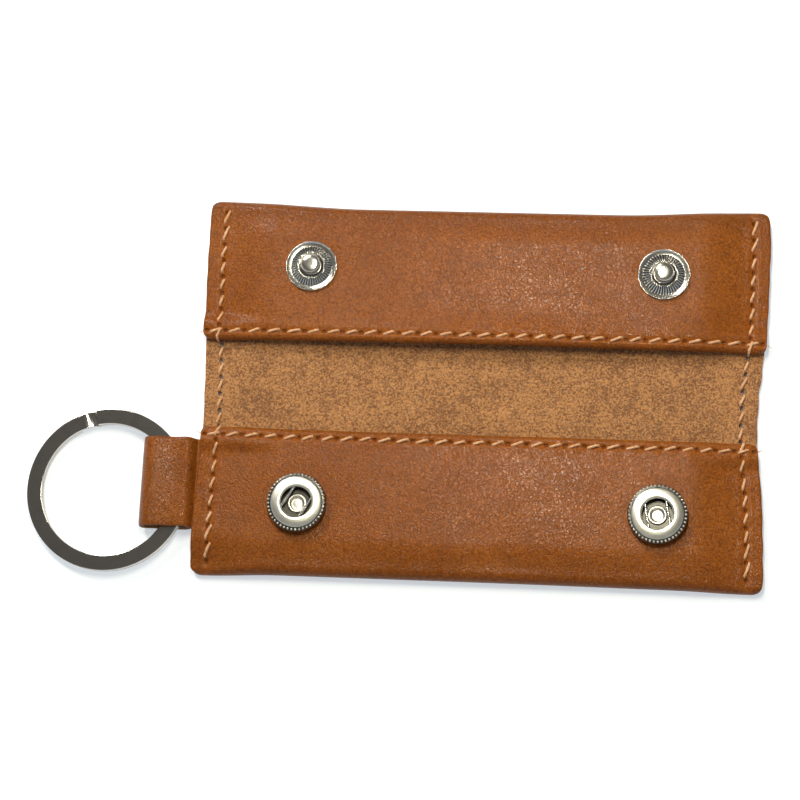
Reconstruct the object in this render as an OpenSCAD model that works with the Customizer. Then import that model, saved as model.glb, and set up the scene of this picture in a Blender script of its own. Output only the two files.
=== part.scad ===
// Leather key case with two snap fasteners and a split ring, lying open.
// X runs along the case, +Y towards the half with the studs, +Z up.
// The origin is the middle of the spine's underside, which rests on the table.

/* [Case] */
// Width of the case along its folds
case_w = 104.4; // [90:0.2:120]
// Thickness of the shell leather
leather_t = 1.2; // [0.9:0.1:1.5]
// How far each side edge draws in at the spine
waist = 0.9; // [0:0.1:2]
// Radius of the case's outer corners, seen from above
corner_r = 2; // [1:0.5:3]

/* [Flaps] */
// Width of the bare band between the two flap mouths
band_d = 17; // [14:0.5:20]
// Depth of each flap from its mouth to its fold
flap_d = 27.5; // [24:0.5:33]
// Outer height of the folds at the middle of the case
fold_h = 3.6; // [3:0.1:4]
// Depth of the leather turned under at each mouth
hem_d = 5; // [4:0.5:6]
// Thickness of the pared leather that is turned under
hem_t = 0.8; // [0.5:0.1:1]
// Height of the lower flap's pocket mouth
mouth_gap_lower = 0.7; // [0.3:0.1:1.2]
// Height of the upper flap's pocket mouth at its ends
mouth_gap_upper = 0.8; // [0.3:0.1:1.2]
// How much higher the upper flap's mouth stands open in the middle
mouth_lift = 1; // [0:0.1:1.4]
// Gap that stays between the sewn leathers along the side seams
seam_gap = 0.2; // [0.1:0.05:0.3]
// Radius of a flap mouth's corners, seen from above
mouth_r = 1.5; // [1:0.5:2]

/* [Seams] */
// Distance of the side seams from the case's edge
seam_in = 3; // [2:0.25:4]
// Pitch of the side seams' stitches
side_pitch = 3.2; // [2.5:0.1:4]
// Distance of the hem seams from the mouth
hem_seam_in = 1.6; // [1.2:0.1:2.5]
// Pitch of the hem seams' stitches
hem_pitch = 3.5; // [2.5:0.1:4.5]
// Thickness of the thread
thread_d = 0.55; // [0.4:0.05:0.7]
// Part of a stitch's pitch that its thread shows
stitch_share = 0.8; // [0.6:0.05:0.9]
// Slant of each stitch across its seam, in degrees
stitch_slant = 8; // [0:1:15]
// Depth of the groove that holds the seams on the back
groove_h = 0.45; // [0.3:0.05:0.5]

/* [Snap fasteners] */
// Distance of each fastener's centre from the case's side edge
snap_in = 19.4; // [17:0.2:26]
// Distance of each fastener's centre from the mouth of its flap
snap_up = 14.1; // [13:0.1:16]
// Diameter of the sockets
socket_d = 10.9; // [10:0.1:12]
// Height of the sockets above the flap
socket_h = 2.4; // [2.2:0.1:3]
// Thickness of the sockets' sheet metal
socket_wall = 0.35; // [0.25:0.05:0.4]
// Diameter of the opening that takes the stud
socket_hole_d = 5.6; // [5:0.1:6]
// Diameter of the spring wire
wire_d = 0.5; // [0.4:0.05:0.5]
// Distance of each straight stretch of the spring from the socket's centre
wire_off = 1.93; // [1.85:0.02:2.05]
// Direction of the left spring's straight stretches, in degrees
spring_turn_left = 59; // [0:1:180]
// Direction of the right spring's straight stretches, in degrees
spring_turn_right = 101; // [0:1:180]
// Diameter of the studs' flange
stud_d = 9.6; // [9:0.1:10.5]
// Height of the studs' flange at its fluted ring
flange_h = 0.9; // [0.8:0.05:1.1]
// Diameter of the studs' neck
neck_d = 3; // [2.8:0.05:3.1]
// Diameter of the studs' head
head_d = 3.6; // [3.4:0.05:3.7]
// Height of the studs above the flap
stud_h = 2.6; // [2.4:0.05:2.6]
// Diameter of the caps that hold the sockets from below
cap_d = 11; // [10:0.2:12]
// Height of those caps
cap_h = 1.5; // [1.2:0.1:1.6]
// Diameter of the caps' post
cap_post_d = 2.8; // [2.4:0.1:3]
// Diameter of the cap post's riveted end
rivet_d = 3.6; // [3.4:0.1:4]
// Diameter of the flange that holds each stud from below
eyelet_d = 7; // [6:0.2:9]
// Thickness of that flange
eyelet_t = 0.4; // [0.3:0.05:0.5]
// Diameter of the post that the stud is riveted to
eyelet_post_d = 2.1; // [1.8:0.1:2.2]
// Gap between stud flange and socket when the case is closed
closing_gap = 0.1; // [0.05:0.05:0.3]

/* [Strap] */
// Width of the strap
strap_w = 16.6; // [14:0.2:17.6]
// Thickness of the strap leather
strap_t = 0.9; // [0.7:0.05:1]
// Distance of the strap's near side from the mouth of its flap
strap_up = 2.3; // [2:0.1:3.5]
// How far the strap stands out from the case's edge
strap_reach = 10.5; // [10.3:0.1:12]
// Length of the strap's ends inside the case
tail_in = 5; // [4:0.25:6]

/* [Split ring] */
// Outer diameter of the ring
ring_d = 30.5; // [28:0.5:30.5]
// Width of the ring's flat strip
strip_w = 2.8; // [2.2:0.1:3]
// Thickness of the ring's flat strip
strip_t = 0.9; // [0.7:0.05:0.9]
// Angle at which the ring leans on the table, in degrees
ring_tilt = 3; // [2.8:0.1:3.2]
// Gap between the ring and the edge of the case
ring_gap = 1.6; // [1.6:0.05:1.9]
// Distance of the ring's centre from the strap's middle
ring_off = 1.6; // [0:0.1:1.6]
// Direction in which the upper turn's end lies, in degrees
ring_end_turn = 102; // [90:1:115]

/* [Hidden] */

// Colours, as red, green and blue shares
tan_leather_shares = [0.60, 0.33, 0.16];
flesh_side_shares = [0.66, 0.46, 0.27];
thread_shares = [0.87, 0.70, 0.51];
nickel_shares = [0.80, 0.79, 0.74];
dark_nickel_shares = [0.30, 0.29, 0.27];
wire_shares = [0.85, 0.84, 0.80];

// Clearances
fit_gap = 0.05;
rest_gap = 0.3;
cut_over = 1;

// Heights that follow from what is stacked in the case
face_z = leather_t + rest_gap + cap_h + leather_t;
flap_under_z = face_z - leather_t;
strap_stack = 2*strap_t + 2*fit_gap;
closed_gap = socket_h + closing_gap + flange_h;
spine_half = face_z - leather_t + closed_gap/2;

// Places that follow, in distances v from the middle of the spine
half_w = case_w/2;
mouth_v = band_d/2;
half_d = mouth_v + flap_d;
snap_x = half_w - snap_in;
snap_v = mouth_v + snap_up;
snap_margin = 0.8;
strap_low_v = mouth_v + strap_up;
strap_v = strap_low_v + strap_w/2;
strap_high_v = strap_low_v + strap_w;
fold_v = half_d - fold_h/2;
flat_far_v = max(snap_v + socket_d/2, strap_high_v) + snap_margin;
flat_near_v = snap_v - socket_d/2 - snap_margin;
hem_step = 2;

// Distance over which a flap rises from its side seam to its full height over the caps
cap_room = 0.9;
crown_run = snap_in - cap_d/2 - cap_room - seam_in;

// Shape of the loft: how many points its curves get
back_steps = 4;
fold_steps = 8;
ramp_steps = 3;
edge_steps = 3;
middle_steps = 5;

function mix(a, b, share) = a + (b - a)*share;
function held(s) = min(1, max(0, s));
function smooth(s) = held(s)*held(s)*(3 - 2*held(s));
function reversed(list) = [for (i = [len(list) - 1:-1:0]) list[i]];

// The values of a list from the largest to the smallest, each once
function falling(list) =
    len(list) == 0 ? []
    : concat(
        falling([for (x = list) if (x > list[0]) x]),
        [list[0]],
        falling([for (x = list) if (x < list[0]) x])
    );

// Half the width of the leather at a distance v, with the waist and the rounded corners
function corner_loss(v, start, r) =
    v <= start ? 0 : r - sqrt(max(0, r*r - pow(min(v - start, r), 2)));
function waist_loss(v) = waist*pow(cos(90*held(v/half_d)), 2);
function width_at(v) = half_w - waist_loss(v) - corner_loss(v, half_d - corner_r, corner_r);
function flap_width_at(v) = width_at(v) - corner_loss(mouth_v - v, -mouth_r, mouth_r);

// u runs from -1 at the left edge to 1 at the right edge
function from_edge(u) = (1 - abs(u))*half_w;
function crown(u) = smooth((from_edge(u) - seam_in)/crown_run);
function lifted(u) = pow(cos(90*u), 2);

// The strap's ends lift the flap that covers them, over their own length and width
tail_room = 0.3;
tail_run = 5;
function strap_near(v) = 1 - smooth((strap_low_v - tail_room - v)/(2*(strap_low_v - mouth_v)));
function strap_far(v) = 1 - smooth((v - flat_far_v)/(fold_v - flat_far_v));
function strap_across(u) = u > 0 ? 0 : 1 - smooth((from_edge(u) - tail_in - tail_room)/tail_run);
function strap_lift(u, v, with_strap) = with_strap ? strap_across(u)*min(strap_near(v), strap_far(v)) : 0;

// Thickness of a flap, which is doubled along its turned hem
function skin_at(v) = leather_t + hem_t*smooth((mouth_v + hem_d - v)/hem_step);

// Height of a flap's face: along the seams, over the middle and over the strap's ends
function seam_top(v) = leather_t + seam_gap + skin_at(v);
function mouth_top(u, gap, lift) = leather_t + gap + lift*lifted(u) + skin_at(mouth_v);
function middle_top(u, v, gap, lift) =
    v > flat_far_v ? mix(face_z, fold_h, smooth((v - flat_far_v)/(fold_v - flat_far_v)))
    : mix(face_z, mouth_top(u, gap, lift), smooth((flat_near_v - v)/(flat_near_v - mouth_v)));
function strap_top(v) = leather_t + strap_stack + skin_at(v);
function flap_top(u, v, gap, lift, with_strap) =
    mix(
        mix(seam_top(v), middle_top(u, v, gap, lift), crown(u)),
        strap_top(v),
        strap_lift(u, v, with_strap)
    );

// Radius of the fold: tight at the sewn edges, wider in the middle
function fold_r(u) = mix(leather_t + seam_gap/2, fold_h/2, crown(u));

// Stations across the case, closer where the leather bends
sewn_d = tail_in + tail_room;
crown_d = seam_in + crown_run;
station_ds = concat(
    [0, seam_in, sewn_d],
    [for (k = [1:edge_steps]) mix(sewn_d, crown_d, k/edge_steps)],
    [for (k = [1:middle_steps]) mix(crown_d, half_w, k/middle_steps)]
);
left_us = [for (d = station_ds) d/half_w - 1];
station_us = concat(left_us, [for (i = [len(left_us) - 2:-1:0]) -left_us[i]]);

// Distances along a flap from the fold to its rounded mouth, and the share of thickness there
nose_v_shares = [1, 0.45, 0.12, 0];
nose_skin_shares = [1, 0.94, 0.75, 0.4];
nose_d = 0.9;
flap_vs = concat(
    [for (k = [1:ramp_steps]) mix(fold_v, flat_far_v, k/ramp_steps)],
    falling([
        snap_v, flat_near_v, mouth_v + hem_d, mouth_v + hem_d - hem_step,
        strap_low_v - tail_room, mouth_v + mouth_r
    ]),
    [for (s = nose_v_shares) mouth_v + nose_d*s]
);
flap_skin_shares = concat(
    [for (k = [1:len(flap_vs) - len(nose_v_shares)]) 1],
    nose_skin_shares
);

// One cross-section of a shell half, as the outer and the inner side of the bent leather
function back_vs(u) = [for (k = [0:back_steps - 1]) mix(spine_half, half_d - fold_r(u), k/back_steps)];
function fold_pt(u, r, k) =
    let(a = 180*k/fold_steps - 90)
    [half_d - fold_r(u) + r*cos(a), fold_r(u) + r*sin(a)];
function at_back(u, v, z) = [u*width_at(v), v, z];
function at_flap(u, v, z) = [u*flap_width_at(v), v, z];
function flap_pt(u, k, gap, lift, with_strap, side) =
    let(
        v = flap_vs[k],
        skin = skin_at(v),
        trim = skin*(1 - flap_skin_shares[k])/2,
        top = flap_top(u, v, gap, lift, with_strap)
    )
    at_flap(u, v, side > 0 ? top - trim : top - skin + trim);
function section(u, gap, lift, with_strap, side) = concat(
    [for (v = back_vs(u)) at_back(u, v, side > 0 ? 0 : leather_t)],
    [for (k = [0:fold_steps])
        let(p = fold_pt(u, side > 0 ? fold_r(u) : fold_r(u) - leather_t, k))
        at_back(u, p[0], p[1])],
    [for (k = [0:len(flap_vs) - 1]) flap_pt(u, k, gap, lift, with_strap, side)]
);

// Two triangles for each four-sided face
function quad(a, b, c, d) = [[a, b, c], [a, c, d]];

// Half of the leather shell: back, round fold, crowned flap and turned hem in one sheet
module shell_sheet(gap, lift, with_strap) {
    rows = len(station_us);
    cols = back_steps + fold_steps + 1 + len(flap_vs);
    points = [
        for (u = station_us) each concat(
            section(u, gap, lift, with_strap, 1),
            section(u, gap, lift, with_strap, -1)
        )
    ];
    function out(i, j) = i*2*cols + j;
    function in(i, j) = i*2*cols + cols + j;
    faces = concat(
        [for (i = [0:rows - 2], j = [0:cols - 2])
            each quad(out(i, j), out(i + 1, j), out(i + 1, j + 1), out(i, j + 1))],
        [for (i = [0:rows - 2], j = [0:cols - 2])
            each quad(in(i, j), in(i, j + 1), in(i + 1, j + 1), in(i + 1, j))],
        [for (j = [0:cols - 2]) each quad(out(0, j), out(0, j + 1), in(0, j + 1), in(0, j))],
        [for (j = [0:cols - 2])
            each quad(out(rows - 1, j + 1), out(rows - 1, j), in(rows - 1, j), in(rows - 1, j + 1))],
        [for (i = [0:rows - 2]) each quad(out(i + 1, 0), out(i, 0), in(i, 0), in(i + 1, 0))],
        [for (i = [0:rows - 2])
            each quad(out(i, cols - 1), out(i + 1, cols - 1), in(i + 1, cols - 1), in(i, cols - 1))]
    );
    polyhedron(points = points, faces = faces);
}

// Where a side seam runs at a distance v, on the side that is -1 or 1
seam_share = 1 - seam_in/half_w;
function seam_x(v, side) = side*seam_share*width_at(v);

// The pressed groove in which a side seam lies on the back, between two distances
groove_room_share = 0.25;
groove_w = thread_d*(1 + groove_room_share);
groove_end = 1.4;
module seam_groove(from_v, to_v, side) {
    steps = 4;
    vs = [for (k = [0:steps]) mix(from_v, to_v, k/steps)];
    translate([0, 0, -cut_over]) linear_extrude(cut_over + groove_h) polygon(concat(
        [for (v = vs) [seam_x(abs(v), side) - groove_w/2, v]],
        [for (v = reversed(vs)) [seam_x(abs(v), side) + groove_w/2, v]]
    ));
}

// One stitch: a short thread with tapered ends, along +X, centred on the origin
module stitch(pitch) {
    stitch_l = pitch*stitch_share;
    r = thread_d/2;
    tip_share = 0.6;
    tip = r*tip_share;
    translate([-stitch_l/2, 0, 0]) rotate([0, 90, 0]) rotate_extrude($fn = 24) polygon([
        [0, 0], [tip, 0], [r, tip], [r, stitch_l - tip], [tip, stitch_l], [0, stitch_l]
    ]);
}

// A flap's hem seam, half sunk in the leather
hem_end = 1.1;
module hem_seam(gap, lift, with_strap) {
    v = mouth_v + hem_seam_in;
    reach = seam_x(v, 1) - hem_end;
    count = floor(2*reach/hem_pitch);
    for (k = [0:count - 1]) {
        x = (k - (count - 1)/2)*hem_pitch;
        z = flap_top(x/half_w, v, gap, lift, with_strap);
        translate([x, v, z]) rotate([0, 0, stitch_slant]) stitch(hem_pitch);
    }
}

// How many stitches of a side seam fit in a run that starts at a needle hole
function stitch_fit(run) = floor((run - side_pitch*stitch_share/2)/side_pitch + 1/2);

// The stitches of a side seam that lie on one half: flap face, bare band and back
seam_end = 2.4;
fold_clear = 0.2;
module side_seam_half(gap, lift, with_strap, side) {
    far_v = half_d - seam_end;
    flap_count = stitch_fit(far_v - mouth_v);
    back_count = stitch_fit(far_v - spine_half - fold_clear);
    stitch_l = side_pitch*stitch_share;
    under_z = thread_d/2 + fit_gap/2;
    u = side*seam_share;
    for (k = [0:flap_count - 1]) {
        v = far_v - (k + 0.5)*side_pitch;
        rise = flap_top(u, v + side_pitch/4, gap, lift, with_strap)
            - flap_top(u, v - side_pitch/4, gap, lift, with_strap);
        translate([seam_x(v, side), v, flap_top(u, v, gap, lift, with_strap)])
            rotate([atan2(rise, side_pitch/2), 0, 0])
            rotate([0, 0, 90 + stitch_slant]) stitch(side_pitch);
    }
    for (k = [0:back_count - 1]) {
        v = far_v - (k + 0.5)*side_pitch;
        translate([seam_x(v, side), v, under_z]) rotate([0, 0, 90]) stitch(side_pitch);
        if (v + stitch_l/2 < mouth_v)
            translate([seam_x(v, side), v, leather_t]) rotate([0, 0, 90 + stitch_slant]) stitch(side_pitch);
    }
}

module side_seam_spine(side) {
    reach = spine_half - fold_clear;
    count = floor((2*reach - side_pitch*stitch_share)/side_pitch) + 1;
    for (k = [0:count - 1]) {
        y = (k - (count - 1)/2)*side_pitch;
        x = seam_x(abs(y), side);
        translate([x, y, leather_t]) rotate([0, 0, 90 + stitch_slant]) stitch(side_pitch);
        translate([x, y, thread_d/2 + fit_gap/2]) rotate([0, 0, 90]) stitch(side_pitch);
    }
}

// A hole through a flap for a fastener's post
module flap_hole(side, hole_d) {
    translate([side*snap_x, snap_v, leather_t + rest_gap/2])
        cylinder(d = hole_d, h = face_z + cut_over, $fn = 48);
}

module shell_half(gap, lift, with_strap, hole_d) {
    difference() {
        shell_sheet(gap, lift, with_strap);
        for (side = [-1, 1]) {
            flap_hole(side, hole_d);
            seam_groove(spine_half - cut_over, half_d - groove_end, side);
        }
    }
}

module shell_lower() {
    color(tan_leather_shares)
        mirror([0, 1, 0]) shell_half(mouth_gap_lower, 0, true, cap_post_d + 2*fit_gap);
}

module shell_upper() {
    color(tan_leather_shares)
        shell_half(mouth_gap_upper, mouth_lift, false, eyelet_post_d + 2*fit_gap);
}

// The spine: the flat band between the two fold lines
module shell_spine() {
    steps = 8;
    vs = [for (k = [0:steps]) mix(-spine_half, spine_half, k/steps)];
    color(flesh_side_shares) difference() {
        linear_extrude(leather_t) polygon(concat(
            [for (v = vs) [width_at(abs(v)), v]],
            [for (v = reversed(vs)) [-width_at(abs(v)), v]]
        ));
        for (side = [-1, 1]) seam_groove(-spine_half - cut_over, spine_half + cut_over, side);
    }
}

// Places of the strap and the ring, left of the case
edge_x = width_at(strap_v);
root_gap = 0.35;
root_x = -edge_x - root_gap;
root_z = leather_t + fit_gap;
ring_x = -edge_x - ring_gap - ring_d/2;
ring_y = -strap_v - ring_off;
ring_r = ring_d/2;
turn_gap = 0.05;
ring_h = 2*strip_t + turn_gap;
ring_lift = ring_r*sin(ring_tilt);

// The strap's two ends, sewn into the left seam under the lower flap
module loop_tail() {
    color(tan_leather_shares)
        translate([root_x, -strap_v - strap_w/2, root_z])
        cube([tail_in + root_gap, strap_w, 2*strap_t]);
}

// Points along one side of a strip that is bent round at the corners of its centre line
function unit(p) = p/norm(p);
function left_of(p) = [-p[1], p[0]];
function turned(p, a) = [p[0]*cos(a) - p[1]*sin(a), p[0]*sin(a) + p[1]*cos(a)];
function bend_at(path, radii, off, i) =
    let(
        a = unit(path[i] - path[i - 1]),
        b = unit(path[i + 1] - path[i]),
        way = a[0]*b[1] - a[1]*b[0] > 0 ? 1 : -1,
        angle = acos(a*b),
        r = radii[i],
        start = path[i] - a*r*tan(angle/2),
        centre = start + way*r*left_of(a)
    )
    [for (k = [0:bend_steps]) centre + (r - way*off)*turned(-way*left_of(a), way*angle*k/bend_steps)];
function strip_side(path, radii, off) = [for (i = [1:len(path) - 2]) each bend_at(path, radii, off, i)];
bend_steps = 6;

// Centre line of the strap's loop in X and Z, from the lower layer's root round the ring to the top
end_inner_r = 0.6;
end_r = strap_t/2 + end_inner_r;
root_run = 0.33;
low_run = 1.6;
high_run = 1.1;
low_z = strap_t/2;
top_clear = 0.22;
ring_top_z = ring_lift + ring_r*sin(ring_tilt) + ring_h*cos(ring_tilt);
high_z = ring_top_z + top_clear + strap_t/2;
loop_x = -edge_x - strap_reach + strap_t/2;
loop_path = [
    [root_x + cut_over, root_z + strap_t/2],
    [root_x - root_run, root_z + strap_t/2],
    [root_x - low_run, low_z],
    [loop_x, low_z],
    [loop_x, high_z],
    [root_x - high_run, high_z],
    [root_x - root_run, root_z + 3*strap_t/2],
    [root_x + cut_over, root_z + 3*strap_t/2]
];
kink_inner_r = 0.1;
kink_r = strap_t/2 + kink_inner_r;
loop_radii = [0, kink_r, kink_r, end_r, end_r, kink_r, kink_r, 0];

// The strap's loop, which holds the ring and bends up at the seam
module key_loop() {
    outer = strip_side(loop_path, loop_radii, strap_t/2);
    inner = strip_side(loop_path, loop_radii, -strap_t/2);
    root_low = [root_x, root_z];
    root_high = [root_x, root_z + 2*strap_t];
    color(tan_leather_shares)
        translate([0, -strap_v + strap_w/2, 0]) rotate([90, 0, 0]) difference() {
            linear_extrude(strap_w) polygon(concat([root_low], outer, [root_high]));
            translate([0, 0, -cut_over]) linear_extrude(strap_w + 2*cut_over) polygon(inner);
        }
}

// One unbroken bar swept along frames, each a point with its sideways and its upward direction
module swept_bar(profile, frames) {
    n = len(profile);
    last = len(frames) - 1;
    points = [for (f = frames, p = profile) f[0] + p[0]*f[1] + p[1]*f[2]];
    faces = concat(
        [for (i = [0:last - 1], k = [0:n - 1])
            let(next = (k + 1)%n)
            each quad(i*n + k, i*n + next, (i + 1)*n + next, (i + 1)*n + k)],
        [for (k = [1:n - 2]) [0, k + 1, k]],
        [for (k = [1:n - 2]) [last*n, last*n + k, last*n + k + 1]]
    );
    polyhedron(points = points, faces = faces);
}

// A split ring: flat strip wound two turns, which steps down beside its own end
step_turn = 11;
end_room = 4;
strip_edge = 0.15;
turn_steps = 64;
step_steps = 6;
upper_z = strip_t + turn_gap;
strip_profile = let(w = strip_w, t = strip_t, e = strip_edge) [
    [-e, 0], [-w + e, 0], [-w, e], [-w, t - e], [-w + e, t], [-e, t], [0, t - e], [0, e]
];
function strip_frame(s) =
    let(
        a = ring_end_turn - s,
        level = upper_z*(1 - smooth((s - 360 + step_turn)/step_turn)),
        out = [cos(a), sin(a), 0]
    )
    [ring_r*out + [0, 0, level], out, [0, 0, 1]];
strip_length = 720 - step_turn - end_room;
strip_stops = concat(
    [for (k = [0:turn_steps - 1]) mix(0, 360 - step_turn, k/turn_steps)],
    [for (k = [0:step_steps - 1]) mix(360 - step_turn, 360, k/step_steps)],
    [for (k = [0:turn_steps]) mix(360, strip_length, k/turn_steps)]
);
module split_ring() {
    color(dark_nickel_shares)
        translate([ring_x, ring_y, ring_lift]) rotate([0, -ring_tilt, 0])
        swept_bar(strip_profile, [for (s = strip_stops) strip_frame(s)]);
}

// A socket: a drum of thin sheet with a ring of beads round its raised face and an open middle
bead_count = 45;
bead_d = 0.46;
bead_tip_share = 0.5;
bead_root = 0.1;
module socket(side) {
    r = socket_d/2;
    h = socket_h;
    w = socket_wall;
    hole_r = socket_hole_d/2;
    floor_r = cap_post_d/2 + fit_gap;
    ledge_h = h - w/2;
    ledge_r = r - w/2;
    color(nickel_shares) translate([side*snap_x, -snap_v, face_z]) {
        rotate_extrude($fn = 72) polygon([
            [floor_r, 0], [r - 2*w, 0], [r - w/2, w], [r, 3*w], [r, h - 2*w],
            [ledge_r, ledge_h], [ledge_r - bead_d, ledge_h], [ledge_r - bead_d - w/2, h],
            [hole_r + w, h], [hole_r + w/4, h - w/3], [hole_r, h - w],
            [r - 2*w, h - w], [r - w, h - 2*w], [r - w, 2*w], [r - 2*w, w], [floor_r, w]
        ]);
        for (k = [0:bead_count - 1]) rotate([0, 0, 360*k/bead_count])
            translate([ledge_r - bead_d/2, 0, ledge_h - bead_root])
            cylinder(d1 = bead_d, d2 = bead_d*bead_tip_share, h = w/2 + bead_root, $fn = 8);
    }
}
module socket_left() { socket(-1); }
module socket_right() { socket(1); }

// A spring of one bent wire: two straight legs beside the hole, joined by an arc round the drum
wire_bend_r = 0.7;
wire_sides = 8;
bend_stops = 6;
arc_stops = 16;
wire_profile = [for (k = [0:wire_sides - 1]) wire_d/2*[cos(360*k/wire_sides), sin(360*k/wire_sides)]];
function wire_frame(x, y, out_a) = [[x, y, 0], [cos(out_a), sin(out_a), 0], [0, 0, 1]];
function wire_bend(x, y, r, from_a, to_a, stops) = [
    for (k = [0:stops]) let(a = mix(from_a, to_a, k/stops)) wire_frame(x + r*cos(a), y + r*sin(a), a)
];
module socket_spring(side, turn) {
    arc_r = socket_d/2 - 2*socket_wall - fit_gap - wire_d/2;
    bend_way = arc_r - wire_bend_r;
    near_x = wire_bend_r - wire_off;
    near_y = -sqrt(bend_way*bend_way - near_x*near_x);
    far_x = wire_off + wire_bend_r;
    far_y = sqrt(bend_way*bend_way - far_x*far_x);
    near_a = atan2(near_y, near_x) + 360;
    far_a = atan2(far_y, far_x) + 360;
    leg_end = sqrt(pow(arc_r - wire_d/2, 2) - pow(wire_off + wire_d/2, 2));
    free_end = leg_end - wire_d;
    wire_z = socket_h - socket_wall - fit_gap - wire_d/2;
    frames = concat(
        [wire_frame(-wire_off, leg_end, 180)],
        wire_bend(near_x, near_y, wire_bend_r, 180, near_a, bend_stops),
        [for (k = [1:arc_stops - 1])
            let(a = mix(near_a, far_a, k/arc_stops))
            wire_frame(arc_r*cos(a), arc_r*sin(a), a)],
        wire_bend(far_x, far_y, wire_bend_r, far_a, 540, bend_stops),
        [wire_frame(wire_off, -free_end, 180)]
    );
    color(wire_shares)
        translate([side*snap_x, -snap_v, face_z + wire_z]) rotate([0, 0, turn - 90])
        swept_bar(wire_profile, frames);
}
module socket_spring_left() { socket_spring(-1, spring_turn_left); }
module socket_spring_right() { socket_spring(1, spring_turn_right); }

// A cap under the lower flap, with the hollow post that is riveted over in the socket
rivet_h = 0.3;
post_wall = 0.35;
dome_r_shares = [0, 0.5, 0.85, 1, 1];
dome_h_shares = [1, 0.96, 0.75, 0.3, 0];
roll_share = 0.6;
module socket_cap(side) {
    r = cap_d/2;
    post_r = cap_post_d/2;
    bore_r = post_r - post_wall;
    top = leather_t + socket_wall + rivet_h;
    color(nickel_shares)
        translate([side*snap_x, -snap_v, flap_under_z])
        rotate_extrude($fn = 72) polygon(concat(
            [for (k = [0:len(dome_r_shares) - 1]) [r*dome_r_shares[k], -cap_h*dome_h_shares[k]]],
            [[post_r, 0], [post_r, top - rivet_h], [rivet_d/2, top - rivet_h]],
            [[rivet_d/2, top - rivet_h/2], [mix(bore_r, rivet_d/2, roll_share), top]],
            [[bore_r, top - rivet_h/3], [bore_r, leather_t], [0, leather_t]]
        ));
}
module socket_cap_left() { socket_cap(-1); }
module socket_cap_right() { socket_cap(1); }

// A stud: rolled flange, trough, fluted ring, neck and domed head, hollow for its eyelet
rim_h = 0.7;
trough_h = 0.35;
head_share = 0.27;
rim_r_shares = [0.94, 1, 0.99, 0.92, 0.85];
rim_h_shares = [0, 0.35, 0.8, 1, 0.85];
trough_r_shares = [0.81, 0.78];
ring_r_shares = [0.57, 0.5, 0.44];
ring_h_shares = [1, 1, 0.85];
head_r_shares = [0.9, 0.62];
flute_count = 44;
flute_h = 0.09;
flute_w = 0.22;
module stud(side) {
    r = stud_d/2;
    neck_r = neck_d/2;
    head_r = head_d/2;
    bore_r = eyelet_post_d/2 + fit_gap;
    head_z = stud_h*(1 - head_share);
    lip = head_r - neck_r;
    flute_from = r*ring_r_shares[0];
    flute_to = r*trough_r_shares[1];
    color(nickel_shares) translate([side*snap_x, snap_v, face_z]) {
        rotate_extrude($fn = 72) polygon(concat(
            [[bore_r, 0]],
            [for (k = [0:len(rim_r_shares) - 1]) [r*rim_r_shares[k], rim_h*rim_h_shares[k]]],
            [for (share = trough_r_shares) [r*share, trough_h]],
            [for (k = [0:len(ring_r_shares) - 1]) [r*ring_r_shares[k], flange_h*ring_h_shares[k]]],
            [[neck_r + lip/2, flange_h*ring_h_shares[2]], [neck_r, flange_h], [neck_r, head_z]],
            [[head_r, head_z + lip/2], [head_r, head_z + lip]],
            [[head_r*head_r_shares[0], head_z + 2*lip], [head_r*head_r_shares[1], stud_h - lip/4]],
            [[0, stud_h], [0, head_z + lip], [bore_r, head_z + lip]]
        ));
        for (k = [0:flute_count - 1]) rotate([0, 0, 360*k/flute_count])
            translate([0, flute_w/2, 0]) rotate([90, 0, 0]) linear_extrude(flute_w) polygon([
                [flute_from, trough_h/2], [flute_to, trough_h/2], [flute_to, trough_h + flute_h],
                [flute_from + flute_h, flange_h], [flute_from, flange_h]
            ]);
    }
}
module stud_left() { stud(-1); }
module stud_right() { stud(1); }

// The eyelet under the upper flap, whose post goes up into the stud
module stud_eyelet(side) {
    post_h = leather_t + stud_h*(1 - head_share);
    post_r = eyelet_post_d/2;
    color(nickel_shares)
        translate([side*snap_x, snap_v, flap_under_z])
        rotate_extrude($fn = 72) polygon([
            [0, -eyelet_t/2], [post_r, -eyelet_t/2], [post_r + eyelet_t/2, -eyelet_t],
            [eyelet_d/2 - eyelet_t/2, -eyelet_t], [eyelet_d/2, -eyelet_t/2], [eyelet_d/2, 0],
            [post_r, 0], [post_r, post_h], [0, post_h]
        ]);
}
module stud_eyelet_left() { stud_eyelet(-1); }
module stud_eyelet_right() { stud_eyelet(1); }

module hem_stitching_lower() {
    color(thread_shares) mirror([0, 1, 0]) hem_seam(mouth_gap_lower, 0, true);
}
module hem_stitching_upper() {
    color(thread_shares) hem_seam(mouth_gap_upper, mouth_lift, false);
}
module side_stitching_lower(side) {
    color(thread_shares) mirror([0, 1, 0]) side_seam_half(mouth_gap_lower, 0, true, side);
}
module side_stitching_upper(side) {
    color(thread_shares) side_seam_half(mouth_gap_upper, mouth_lift, false, side);
}
module side_stitching_lower_left() { side_stitching_lower(-1); }
module side_stitching_lower_right() { side_stitching_lower(1); }
module side_stitching_upper_left() { side_stitching_upper(-1); }
module side_stitching_upper_right() { side_stitching_upper(1); }
module side_stitching_spine_left() { color(thread_shares) side_seam_spine(-1); }
module side_stitching_spine_right() { color(thread_shares) side_seam_spine(1); }

shell_lower();
shell_spine();
shell_upper();
loop_tail();
key_loop();
split_ring();
socket_left();
socket_right();
socket_spring_left();
socket_spring_right();
socket_cap_left();
socket_cap_right();
stud_left();
stud_right();
stud_eyelet_left();
stud_eyelet_right();
hem_stitching_lower();
hem_stitching_upper();
side_stitching_lower_left();
side_stitching_lower_right();
side_stitching_spine_left();
side_stitching_spine_right();
side_stitching_upper_left();
side_stitching_upper_right();
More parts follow.
